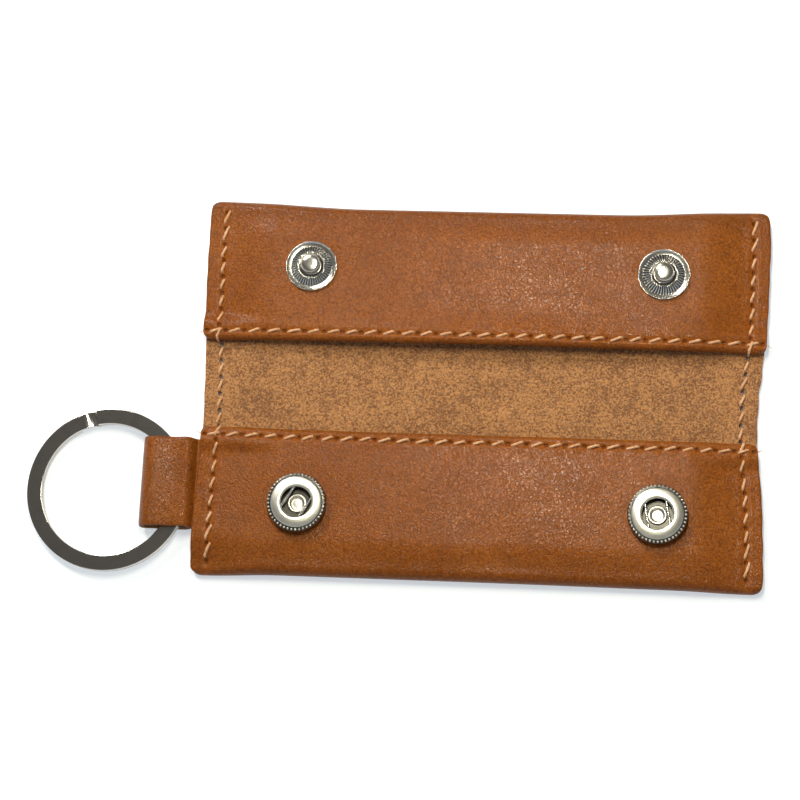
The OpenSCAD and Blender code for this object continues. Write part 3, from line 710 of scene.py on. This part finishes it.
def stud_piece(name, side, material):
    profile = rounded(
        [
            (1.1, 0.0), (4.2, 0.0), (4.55, 0.1), (4.78, 0.34), (4.8, 0.54), (4.72, 0.62), (4.62, 0.56),
            (4.45, 0.43), (4.1, 0.34), (3.86, 0.29), (3.74, 0.3), (3.3, 0.52), (2.9, 0.74), (2.55, 0.88),
            (2.3, 0.86), (2.12, 0.7),
            (1.75, 0.62), (1.52, 0.8), (1.46, 1.1), (1.46, 1.75), (1.68, 1.92), (1.8, 2.12), (1.74, 2.32),
            (1.5, 2.47), (1.0, 2.57), (0.5, 2.6), (0.0, 2.6),
        ],
        0.14,
        2,
    )
    bm = spun(profile, 8 * FLUTES)
    painted_hollow_shade = []
    for v in bm.verts:
        r, a = math.hypot(v.co.x, v.co.y), math.atan2(v.co.y, v.co.x)
        on_ring = smooth((r - 2.35) / 0.3) * smooth((3.85 - r) / 0.12) * (v.co.z > 0.2)
        v.co.z += FLUTE_DEPTH * on_ring * math.cos(FLUTES * a)
        # Painted shade in the flute grooves, round the neck and at the foot of the fluted ring.
        groove = smooth(0.5 - 1.1 * math.cos(FLUTES * a)) * on_ring
        neck = bell(r - 2.0, 0.28) * (v.co.z < 1.2) + 0.7 * bell(r - 3.86, 0.09) * (v.co.z > 0.2)
        painted_hollow_shade.append(held(0.95 * groove + 0.9 * neck))
    bm.transform(Matrix.Translation((side * SNAP_X, SNAP_V, FACE_Z)))
    obj = finish_piece(bm, name, [material], smooth_angle=60)
    mark(obj, "painted_hollow_shade", painted_hollow_shade)
    return obj


def socket_piece(name, side, materials):
    profile = rounded(
        [
            (1.46, 0.0), (4.75, 0.0), (5.25, 0.35), (5.44, 1.0), (5.44, 1.6), (5.34, 1.86), (5.05, 1.95),
            (4.82, 1.96), (4.7, 2.06), (4.45, 2.18), (3.9, 2.32), (3.4, 2.39), (3.05, 2.36), (2.86, 2.22),
            (2.8, 1.95), (2.95, 1.9), (4.5, 1.8), (4.95, 1.55), (5.05, 1.0), (4.8, 0.5), (4.5, 0.34),
            (1.46, 0.34),
        ],
        0.10,
        3,
    )
    profile.append(profile[0])
    bm = spun(profile, 112)
    for f in bm.faces:
        middle = f.calc_center_median()
        r = math.hypot(middle.x, middle.y)
        f.material_index = 0 if 2.82 < r < 4.72 and middle.z > 2.0 else 1
    for x, y in round_section(BEAD_AT, BEADS):
        bead = bmesh.ops.create_uvsphere(bm, u_segments=10, v_segments=8, radius=BEAD_R)["verts"]
        bmesh.ops.translate(bm, verts=bead, vec=(x, y, BEAD_Z))
        for f in {f for v in bead for f in v.link_faces}:
            f.material_index = 2
    bm.verts.index_update()
    plain = {v.index for f in bm.faces if f.material_index == 1 for v in f.verts}
    # Painted shade on the drum's floor and on the wall under the beads.
    painted_hollow_shade = []
    for v in bm.verts:
        r = math.hypot(v.co.x, v.co.y)
        floor = r < 4.6 and v.co.z < 1.9
        painted_hollow_shade.append(0.75 * (v.index in plain) * (floor or (r > 4.7 and v.co.z > 1.7)))
    bm.transform(Matrix.Translation((side * SNAP_X, -SNAP_V, FACE_Z)))
    obj = finish_piece(bm, name, materials, smooth_angle=50)
    mark(obj, "painted_hollow_shade", painted_hollow_shade)
    return obj


def post_piece(name, side, material):
    """Cap under the flap, with its hollow post riveted over at the bottom of the socket."""
    profile = rounded(
        [
            (0.0, -1.5), (2.75, -1.44), (4.7, -1.12), (5.5, -0.45), (5.5, 0.0), (1.4, 0.0), (1.4, 1.56),
            (1.78, 1.57), (1.8, 1.7), (1.62, 1.84), (1.36, 1.83), (1.2, 1.66), (1.14, 1.45), (0.9, 1.38),
            (0.45, 1.42), (0.0, 1.44),
        ],
        0.1,
    )
    bm = spun(profile, 64)
    bm.transform(Matrix.Translation((side * SNAP_X, -SNAP_V, FACE_Z - LEATHER)))
    return finish_piece(bm, name, [material], smooth_angle=50)


def wire_path():
    """The spring's centre line: two straight legs beside the hole, joined by an arc round the drum."""
    off, bend, arc = 1.93, 0.7, 4.45
    reach = arc - bend
    near = (bend - off, -math.sqrt(reach**2 - (bend - off) ** 2))
    far = (off + bend, math.sqrt(reach**2 - (off + bend) ** 2))
    near_a = math.degrees(math.atan2(near[1], near[0])) + 360
    far_a = math.degrees(math.atan2(far[1], far[0])) + 360
    leg = math.sqrt((arc - WIRE_R) ** 2 - (off + WIRE_R) ** 2)

    def bow(centre, r, a0, a1, steps):
        return [
            (centre[0] + r * math.cos(math.radians(mix(a0, a1, k / steps))),
             centre[1] + r * math.sin(math.radians(mix(a0, a1, k / steps))), 0)
            for k in range(steps + 1)
        ]

    path = [(-off, mix(leg, near[1], k / 14), 0) for k in range(14)]
    path += bow(near, bend, 180, near_a, 8)
    path += bow((0, 0), arc, near_a, far_a, 30)[1:-1]
    path += bow(far, bend, far_a, 540, 8)
    path += [(off, mix(far[1], -leg + 0.5, k / 14), 0) for k in range(1, 15)]
    return path


def spring_piece(name, side, turn, material):
    bm = bmesh.new()
    bar(bm, wire_path(), lambda k, share: round_section(WIRE_R, 12))
    bmesh.ops.recalc_face_normals(bm, faces=bm.faces)
    place = Matrix.Translation((side * SNAP_X, -SNAP_V, FACE_Z + WIRE_Z))
    bm.transform(place @ Matrix.Rotation(math.radians(turn - 90), 4, "Z"))
    return finish_piece(bm, name, [material], smooth_angle=50)


# Materials


class Nodes:
    """Short ways to add and join nodes in one tree."""

    def __init__(self, tree):
        self.tree = tree

    def add(self, kind, **values):
        node = self.tree.nodes.new(kind)
        for key, value in values.items():
            setattr(node, key, value)
        return node

    def join(self, source, target):
        self.tree.links.new(source, target)

    def math(self, operation, a, b=None, c=None):
        node = self.add("ShaderNodeMath", operation=operation)
        for socket, value in zip(node.inputs, (a, b, c)):
            if value is None:
                continue
            if isinstance(value, (int, float)):
                socket.default_value = value
            else:
                self.join(value, socket)
        return node.outputs[0]

    def fill(self, node, **values):
        """Sets or joins a node's inputs. Their names are written with _ for a space."""
        for key, value in values.items():
            socket = node.inputs[key.replace("_", " ")]
            if isinstance(value, bpy.types.NodeSocket):
                self.join(value, socket)
            else:
                socket.default_value = value
        return node.outputs

    def between(self, value, low, high, to_low=0.0, to_high=1.0):
        node = self.add("ShaderNodeMapRange", interpolation_type="SMOOTHSTEP")
        self.fill(node, Value=value, From_Min=low, From_Max=high, To_Min=to_low, To_Max=to_high)
        return node.outputs["Result"]

    def blend(self, share, a, b):
        node = self.add("ShaderNodeMix", data_type="RGBA", blend_type="MIX")
        for socket, value in ((node.inputs[0], share), (node.inputs[6], a), (node.inputs[7], b)):
            if isinstance(value, (int, float)):
                socket.default_value = value
            elif isinstance(value, tuple):
                socket.default_value = (*value, 1.0)
            else:
                self.join(value, socket)
        return node.outputs[2]

    def noise(self, vector, scale, detail=3.0, roughness=0.5, distortion=0.0, output="Fac"):
        return self.fill(
            self.add("ShaderNodeTexNoise"),
            Vector=vector, Scale=scale, Detail=detail, Roughness=roughness, Distortion=distortion,
        )[output]

    def turned(self, vector, rotation, scale):
        node = self.add("ShaderNodeMapping")
        return self.fill(node, Vector=vector, Rotation=rotation, Scale=scale)["Vector"]


def group(name, inputs, outputs):
    """A shader node group with float or vector inputs and outputs, and helpers to fill it."""
    tree = bpy.data.node_groups.new(name, "ShaderNodeTree")
    for socket, kind, value in inputs:
        made = tree.interface.new_socket(socket, in_out="INPUT", socket_type=kind)
        if value is not None:
            made.default_value = value
    for socket, kind in outputs:
        tree.interface.new_socket(socket, in_out="OUTPUT", socket_type=kind)
    nodes = Nodes(tree)
    return tree, nodes, nodes.add("NodeGroupInput").outputs, nodes.add("NodeGroupOutput").inputs


def pebble_grain():
    """Smooth leather's grain: small pebbles parted by fine creases. The depth of its creases and wrinkle
    hollows also serves as painted shade in the colour.
    """
    tree, n, given, out = group(
        "pebble_grain",
        [("Vector", "NodeSocketVector", None), ("Scale", "NodeSocketFloat", 1500.0)],
        [("Height", "NodeSocketFloat"), ("Painted_crease_shade", "NodeSocketFloat")],
    )
    wobble = n.noise(given["Vector"], 1100, 2, output="Color")
    shift = n.add("ShaderNodeVectorMath", operation="SCALE")
    n.join(wobble, shift.inputs[0])
    shift.inputs["Scale"].default_value = 0.0009
    moved = n.add("ShaderNodeVectorMath", operation="ADD")
    n.join(given["Vector"], moved.inputs[0])
    n.join(shift.outputs[0], moved.inputs[1])
    cells = n.add("ShaderNodeTexVoronoi", feature="DISTANCE_TO_EDGE")
    n.fill(cells, Vector=moved.outputs[0], Scale=given["Scale"])
    crease = n.between(cells.outputs["Distance"], 0.0, 0.17, 1.0, 0.0)
    wrinkle = n.between(n.noise(given["Vector"], 2200, 1, 0.5, 0.8), 0.38, 0.62)
    valley = n.math("MULTIPLY_ADD", crease, 0.5, n.math("MULTIPLY", wrinkle, 0.5))
    n.join(n.math("MULTIPLY", valley, -1.0), out["Height"])
    n.join(valley, out["Painted_crease_shade"])
    return tree


def stitch_holes():
    """Where the needle went through the case: masks of holes and of the pressed channel. The channel mask
    serves as a painted highlight along the seams.
    """
    tree, n, given, out = group(
        "stitch_holes",
        [("Vector", "NodeSocketVector", None)],
        [("Hole", "NodeSocketFloat"), ("Painted_channel_highlight", "NodeSocketFloat")],
    )
    parts = n.add("ShaderNodeSeparateXYZ")
    n.join(given["Vector"], parts.inputs[0])
    x = n.math("ABSOLUTE", parts.outputs[0])
    y = n.math("ABSOLUTE", parts.outputs[1])

    def holes(along, across, pitch):
        cell = n.math("SUBTRACT", n.math("FRACT", n.math("DIVIDE", along, pitch * MM)), 0.5)
        reach = n.math("MULTIPLY", cell, 0.7 * pitch * MM)
        squares = n.math("ADD", n.math("MULTIPLY", reach, reach), n.math("MULTIPLY", across, across))
        return n.between(n.math("SQRT", squares), 0.00010, 0.00042, 1.0, 0.0)

    def channel(across):
        return n.between(n.math("ABSOLUTE", across), 0.0002, 0.0011, 1.0, 0.0)

    hem_across = n.math("SUBTRACT", y, HEM_LINE * MM)
    turn = n.math("COSINE", n.math("MULTIPLY", y, math.pi / 2 / (HALF_D * MM)))
    waist = n.math("MULTIPLY", n.math("MULTIPLY", turn, turn), -WAIST * SEAM_SHARE * MM)
    line = n.math("ADD", waist, SEAM_SHARE * HALF_W * MM)
    side_across = n.math("SUBTRACT", x, line)
    side_hole = holes(y, side_across, SIDE_PITCH)
    side_on = n.math("LESS_THAN", y, (LAST_HOLE + LINE_END) * MM)
    hem_hole = holes(x, hem_across, HEM_PITCH)
    up = n.math("GREATER_THAN", parts.outputs[2], ON_FLAP_Z * MM)
    hem_hole = n.math("MULTIPLY", hem_hole, up)
    both = n.math("MAXIMUM", n.math("MULTIPLY", side_hole, side_on), hem_hole)
    pressed = n.math("MAXIMUM", channel(side_across), n.math("MULTIPLY", channel(hem_across), up))
    n.join(both, out["Hole"])
    n.join(pressed, out["Painted_channel_highlight"])
    return tree


def fibre_nap():
    """Flesh side of leather: short mottled nap with a few longer fibres."""
    tree, n, given, out = group(
        "fibre_nap",
        [("Vector", "NodeSocketVector", None)],
        [("Height", "NodeSocketFloat"), ("Mottle", "NodeSocketFloat"), ("Fibre", "NodeSocketFloat")],
    )
    fine = n.noise(given["Vector"], 2600, 4, 0.75, 0.6)
    tufts = n.noise(given["Vector"], 1100, 3, 0.65, 1.2)
    slow = n.noise(given["Vector"], 190, 4, 0.6, 0.4)
    fibre = n.noise(n.turned(given["Vector"], (0, 0, 0.5), (0.3, 1.2, 1.0)), 2600, 2, 0.6, 1.5)
    height = n.math("ADD", n.math("MULTIPLY", fine, 0.5), n.math("MULTIPLY", tufts, 0.6))
    n.join(height, out["Height"])
    mottle = n.math("ADD", n.math("MULTIPLY", slow, 0.15), n.math("MULTIPLY", tufts, 0.25))
    n.join(n.math("MULTIPLY_ADD", fine, 0.60, mottle), out["Mottle"])
    n.join(n.between(fibre, 0.52, 0.72), out["Fibre"])
    return tree


def scuffs():
    """Fine scratches and smudges on metal."""
    tree, n, given, out = group(
        "scuffs",
        [("Vector", "NodeSocketVector", None)],
        [("Scratch", "NodeSocketFloat"), ("Smudge", "NodeSocketFloat")],
    )
    scratch = None
    for angle in (0.4, 1.9):
        stretched = n.turned(given["Vector"], (0.1, 0.2, angle), (60, 2600, 900))
        lines = n.between(n.noise(stretched, 1.0, 2, 0.5), 0.60, 0.70)
        scratch = lines if scratch is None else n.math("MAXIMUM", scratch, lines)
    n.join(scratch, out["Scratch"])
    n.join(n.noise(given["Vector"], 420, 4, 0.6, 0.5), out["Smudge"])
    return tree


def new_material(name):
    material = bpy.data.materials.new(name)
    material.use_nodes = True
    nodes = Nodes(material.node_tree)
    shader = next(x for x in material.node_tree.nodes if x.type == "BSDF_PRINCIPLED")
    coords = nodes.add("ShaderNodeTexCoord").outputs["Object"]
    return material, nodes, shader, coords


def placed(nodes, tree, vector, **values):
    return nodes.fill(nodes.add("ShaderNodeGroup", node_tree=tree), Vector=vector, **values)


def attribute(nodes, name, output="Fac"):
    return nodes.add("ShaderNodeAttribute", attribute_name=name).outputs[output]


def bumped(nodes, shader, height, distance, strength=1.0):
    bump = nodes.fill(nodes.add("ShaderNodeBump"), Strength=strength, Distance=distance, Height=height)
    nodes.join(bump["Normal"], shader.inputs["Normal"])


def grain_leather(name, groups, base, light, deep):
    """Tan grain leather: pebbled, with painted shade in its creases, its needle holes, towards the far fold
    and along fold crests, darker at worn edges, and with a painted highlight along its stitch channels.
    """
    material, n, shader, coords = new_material(name)
    grain = placed(n, groups["grain"], coords, Scale=1500.0)
    seams = placed(n, groups["holes"], attribute(n, "flat", "Vector"))
    slow = n.between(n.noise(coords, 55, 4, 0.55, 0.3), 0.32, 0.68)
    blotch = n.between(n.noise(coords, 260, 3, 0.6), 0.35, 0.7)
    colour = n.blend(slow, base, light)
    colour = n.blend(n.math("MULTIPLY", blotch, 0.25), colour, deep)
    # Painted shade in the grain's creases and wrinkle hollows.
    colour = n.blend(n.math("MULTIPLY", grain["Painted_crease_shade"], 0.8), colour, deep)
    # Painted shade towards the far fold.
    colour = n.blend(n.math("MULTIPLY", attribute(n, "shade"), 0.35), colour, deep)
    # Darker at worn edges, with painted shade at fold crests and the strap's loop end.
    colour = n.blend(n.math("MULTIPLY", attribute(n, "rub_and_shade"), 0.45), colour, deep)
    # Painted highlight along the stitch channels.
    colour = n.blend(n.math("MULTIPLY", seams["Painted_channel_highlight"], 0.25), colour, light)
    # Painted shade in the needle holes.
    colour = n.blend(n.math("MULTIPLY", seams["Hole"], 0.7), colour, (0.085, 0.020, 0.007))
    rough = n.math("MULTIPLY_ADD", blotch, 0.05, 0.19)
    n.fill(shader, Base_Color=colour, Roughness=rough, Specular_IOR_Level=0.18)
    height = n.math("MULTIPLY_ADD", seams["Hole"], -4.0, grain["Height"])
    bumped(n, shader, height, 0.00005)
    return material


def flesh_leather(name, groups, pale, dark):
    """Flesh side: mottled nap with paler fibres and dark specks, and painted shade in its needle holes."""
    material, n, shader, coords = new_material(name)
    nap = placed(n, groups["nap"], coords)
    seams = placed(n, groups["holes"], attribute(n, "flat", "Vector"))
    colour = n.blend(n.between(nap["Mottle"], 0.45, 0.55), dark, pale)
    colour = n.blend(n.math("MULTIPLY", nap["Fibre"], 0.35), colour, (0.62, 0.42, 0.24))
    specks = n.between(n.noise(coords, 2300, 2, 0.5), 0.62, 0.72)
    colour = n.blend(n.math("MULTIPLY", specks, 0.45), colour, (0.16, 0.07, 0.03))
    # Painted shade in the needle holes.
    colour = n.blend(n.math("MULTIPLY", seams["Hole"], 0.75), colour, (0.06, 0.03, 0.015))
    n.fill(shader, Base_Color=colour, Roughness=n.math("MULTIPLY_ADD", nap["Mottle"], -0.1, 0.98))
    n.fill(shader, Specular_IOR_Level=0.2, Sheen_Weight=0.25, Sheen_Roughness=0.6)
    bumped(n, shader, n.math("MULTIPLY_ADD", seams["Hole"], -1.5, nap["Height"]), 0.0006, 1.0)
    return material


def cut_edge(name, groups, tone, dark):
    """Cut edge: pressed fibres in layers, partly sealed with a darker dressing."""
    material, n, shader, coords = new_material(name)
    nap = placed(n, groups["nap"], coords)
    layers = n.add("ShaderNodeTexWave", wave_type="BANDS", bands_direction="Z")
    n.fill(layers, Vector=coords, Scale=700, Distortion=4, Detail=3)
    colour = n.blend(n.between(nap["Mottle"], 0.38, 0.62), dark, tone)
    colour = n.blend(n.math("MULTIPLY", layers.outputs["Fac"], 0.3), colour, dark)
    n.fill(shader, Base_Color=colour, Roughness=n.math("MULTIPLY_ADD", nap["Mottle"], 0.3, 0.6))
    height = n.math("ADD", nap["Height"], n.math("MULTIPLY", layers.outputs["Fac"], 0.4))
    bumped(n, shader, height, 0.00022, 0.8)
    return material


def plated_metal(name, groups, colour, tarnish, rough, haze=0.12, scratch=0.05):
    """Plated metal with fine scratches, smudges, a little tarnish and painted shade in its hollows."""
    material, n, shader, coords = new_material(name)
    marks = placed(n, groups["scuffs"], coords)
    spots = n.between(marks["Smudge"], 0.5, 0.78)
    tone = n.blend(n.math("MULTIPLY", spots, 0.5), colour, tarnish)
    # Painted shade in the hollows of studs and sockets.
    tone = n.blend(attribute(n, "painted_hollow_shade"), tone, (0.045, 0.042, 0.036))
    level = n.math("MULTIPLY_ADD", marks["Scratch"], scratch, rough)
    level = n.math("MULTIPLY_ADD", marks["Smudge"], haze, level)
    n.fill(shader, Base_Color=tone, Metallic=1.0, Roughness=level)
    lines = n.math("MULTIPLY", marks["Scratch"], -6 * scratch)
    bumped(n, shader, n.math("MULTIPLY_ADD", marks["Smudge"], 0.8, lines), 0.000008, 0.4)
    return material


def sewing_thread(name, pale, shadow):
    """Twisted thread: fine fibres, paler on its ridges."""
    material, n, shader, coords = new_material(name)
    fibres = n.noise(coords, 6500, 3, 0.6, 1.0)
    tone = n.between(n.noise(coords, 900, 2), 0.35, 0.65)
    colour = n.blend(n.math("MULTIPLY_ADD", fibres, 0.5, n.math("MULTIPLY", tone, 0.4)), shadow, pale)
    rough = n.math("MULTIPLY_ADD", fibres, 0.2, 0.6)
    n.fill(shader, Base_Color=colour, Roughness=rough, Sheen_Weight=0.2)
    bumped(n, shader, fibres, 0.00006, 0.8)
    return material


# Surroundings


def floor_piece():
    bm = bmesh.new()
    bmesh.ops.create_grid(bm, x_segments=1, y_segments=1, size=4000)
    obj = finish_piece(bm, "floor", [])
    material = bpy.data.materials.new("floor_white")
    material.use_nodes = True
    n = Nodes(material.node_tree)
    shader = next(x for x in material.node_tree.nodes if x.type == "BSDF_PRINCIPLED")
    output = next(x for x in material.node_tree.nodes if x.type == "OUTPUT_MATERIAL")
    n.fill(shader, Base_Color=(0.82, 0.82, 0.82, 1), Roughness=0.9, Specular_IOR_Level=0.1)
    glow = n.add("ShaderNodeEmission")
    path = n.add("ShaderNodeLightPath")
    seen = n.math("MAXIMUM", path.outputs["Is Camera Ray"], path.outputs["Is Glossy Ray"])
    seen = n.math("MAXIMUM", seen, path.outputs["Is Transmission Ray"])
    n.fill(glow, Color=(0.88, 0.95, 1.0, 1), Strength=n.math("MULTIPLY", seen, 0.5))
    both = n.add("ShaderNodeAddShader")
    n.join(shader.outputs[0], both.inputs[0])
    n.join(glow.outputs[0], both.inputs[1])
    n.join(both.outputs[0], output.inputs["Surface"])
    obj.data.materials.append(material)


def lamp(name, at, size, power, aim=(0, 0, 0), colour=(1, 1, 1), long=None):
    data = bpy.data.lights.new(name, "AREA")
    data.shape = "RECTANGLE" if long else "DISK"
    data.size = size
    data.size_y = long or size
    data.energy = power
    data.color = colour
    obj = bpy.data.objects.new(name, data)
    obj.location = at
    obj.rotation_mode = "QUATERNION"
    obj.rotation_quaternion = (Vector(aim) - Vector(at)).to_track_quat("-Z", "Y")
    bpy.context.scene.collection.objects.link(obj)


def surroundings():
    world = bpy.data.worlds.new("room")
    bpy.context.scene.world = world
    world.use_nodes = True
    n = Nodes(world.node_tree)
    back = next(x for x in world.node_tree.nodes if x.type == "BACKGROUND")
    coords = n.add("ShaderNodeTexCoord").outputs["Generated"]
    parts = n.add("ShaderNodeSeparateXYZ")
    n.join(coords, parts.inputs[0])
    ceiling = n.between(n.math("MULTIPLY_ADD", parts.outputs[1], 0.5, parts.outputs[2]), 0.40, 0.74)
    tone = n.blend(ceiling, (0.40, 0.43, 0.48), (0.10, 0.097, 0.092))
    path = n.add("ShaderNodeLightPath")
    n.fill(back, Color=n.blend(path.outputs["Is Camera Ray"], tone, (1.0, 1.0, 1.0)), Strength=1.0)
    lamp("key_light", (-0.80, 1.30, 1.40), 0.7, 24.0, colour=(1.0, 0.98, 0.95))
    lamp(
        "near_light", (0.001, 0.080, 0.300), 0.02, 0.54, aim=(0.001, 0.080, 0),
        colour=(1.0, 0.97, 0.82), long=0.12,
    )


def camera():
    """The photograph's viewpoint, fitted to the ring, the fasteners and the case's corners."""
    tilt_x, tilt_y, roll = map(math.radians, (5.69, 13.13, 2.96))
    distance, focal, photo_width, sensor = 469.0, 2523.0, 800, 36
    back = Vector((math.tan(tilt_x), -math.tan(tilt_y), 1)).normalized()
    at = Vector((-15.34, -1.56, 0)) + back * distance
    right = Vector((0, 1, 0)).cross(back).normalized()
    up = back.cross(right)
    c, s = math.cos(roll), math.sin(roll)
    right, up = right * c + up * s, up * c - right * s
    data = bpy.data.cameras.new("photo_view")
    data.sensor_width = sensor
    data.lens = focal / photo_width * sensor
    data.clip_start, data.clip_end = 0.01, 20
    obj = bpy.data.objects.new("photo_view", data)
    turn = Matrix((right, up, back)).transposed().to_4x4()
    obj.matrix_world = Matrix.Translation(at * MM) @ turn
    bpy.context.scene.collection.objects.link(obj)
    bpy.context.scene.camera = obj


def finishes():
    """Every material of the case, under the name of what it covers."""
    groups = {"grain": pebble_grain(), "holes": stitch_holes(), "nap": fibre_nap(), "scuffs": scuffs()}
    return {
        "shell": grain_leather(
            "tan_grain", groups, (0.335, 0.091, 0.0095), (0.395, 0.114, 0.0155), (0.125, 0.032, 0.0035)
        ),
        "flesh": flesh_leather("flesh_side", groups, (0.66, 0.295, 0.092), (0.25, 0.094, 0.026)),
        "edge": cut_edge("cut_edge", groups, (0.34, 0.16, 0.07), (0.15, 0.06, 0.022)),
        "strap": grain_leather(
            "strap_grain", groups, (0.32, 0.087, 0.0095), (0.38, 0.110, 0.0145), (0.12, 0.031, 0.0035)
        ),
        "stud": plated_metal("nickel_plate", groups, (0.72, 0.69, 0.61), (0.42, 0.39, 0.32), 0.13),
        "ring": plated_metal(
            "dark_nickel_plate", groups, (0.58, 0.545, 0.50), (0.46, 0.425, 0.38), 0.12, 0.08, 0.01
        ),
        "socket": plated_metal("satin_nickel", groups, (0.84, 0.80, 0.68), (0.40, 0.36, 0.29), 0.24, 0.22),
        # A dark copy of the socket's nickel: painted shade on its walls, rim and drum.
        "drum": plated_metal("painted_shade_nickel", groups, (0.22, 0.205, 0.17), (0.12, 0.11, 0.09), 0.24),
        "wire": plated_metal("spring_steel", groups, (0.85, 0.83, 0.76), (0.55, 0.52, 0.45), 0.12),
        "thread": sewing_thread("peach_thread", (0.95, 0.60, 0.33), (0.60, 0.27, 0.10)),
    }


def dress_leather(looks):
    """Shell and strap, with the solids that they replace hidden."""
    layers = [looks["shell"], looks["flesh"], looks["edge"]]
    lower = leather_half("shell_lower_leather", LOWER, layers)
    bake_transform(lower)
    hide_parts("shell_lower", "shell_spine")
    upper = leather_half("shell_upper_leather", UPPER, layers)
    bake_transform(upper)
    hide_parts("shell_upper")
    strap = strap_loop([looks["strap"], looks["flesh"], looks["edge"]])
    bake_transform(strap)
    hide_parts("key_loop", "loop_tail")


def dress_ring(looks):
    ring = ring_piece(looks["ring"])
    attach(ring, "ring")
    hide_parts("split_ring")


def side_pieces(looks, side, word):
    """Fasteners and side seam at one end of the case, each with its body, its node's name and its slot."""
    # The socket's walls, rim and drum take the dark nickel with painted shade.
    socket_looks = [looks["socket"], looks["drum"], looks["socket"]]
    pieces = [
        (stud_piece("stud_dressed_" + word, side, looks["stud"]), "upper_half", "stud_", "nickel"),
        (socket_piece("socket_dressed_" + word, side, socket_looks), "lower_half", "socket_", "nickel"),
        (post_piece("post_dressed_" + word, side, looks["socket"]), "lower_half", "socket_cap_", "nickel"),
        (
            spring_piece("spring_dressed_" + word, side, 59 if side < 0 else 101, looks["wire"]),
            "lower_half", "socket_spring_", "spring_wire",
        ),
    ]
    for part, first, last, seed in (("upper", 0, 9, 11), ("spine", 9, 12, 21), ("lower", 12, 21, 31)):
        seam = side_seam(f"side_thread_{part}_{word}", side, first, last, looks["thread"], seed + side)
        body = "spine" if part == "spine" else part + "_half"
        pieces.append((seam, body, f"side_stitching_{part}_", "thread"))
    return pieces


def dress_sides(looks):
    for side, word in ((-1, "left"), (1, "right")):
        for piece, body, node, slot in side_pieces(looks, side, word):
            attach(piece, body)
            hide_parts(node + word)
        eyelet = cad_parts["stud_eyelet_" + word].data
        eyelet.materials.clear()
        eyelet.materials.append(looks["stud"])


def dress_hems(looks):
    for name, half, body, seed in (("upper", UPPER, "upper_half", 41), ("lower", LOWER, "lower_half", 43)):
        hem = hem_seam("hem_thread_" + name, half, looks["thread"], seed)
        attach(hem, body)
        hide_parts("hem_stitching_" + name)


def main():
    looks = finishes()
    dress_leather(looks)
    dress_ring(looks)
    dress_sides(looks)
    dress_hems(looks)
    floor_piece()
    surroundings()
    camera()
    bpy.context.scene.view_settings.view_transform = "Standard"


main()
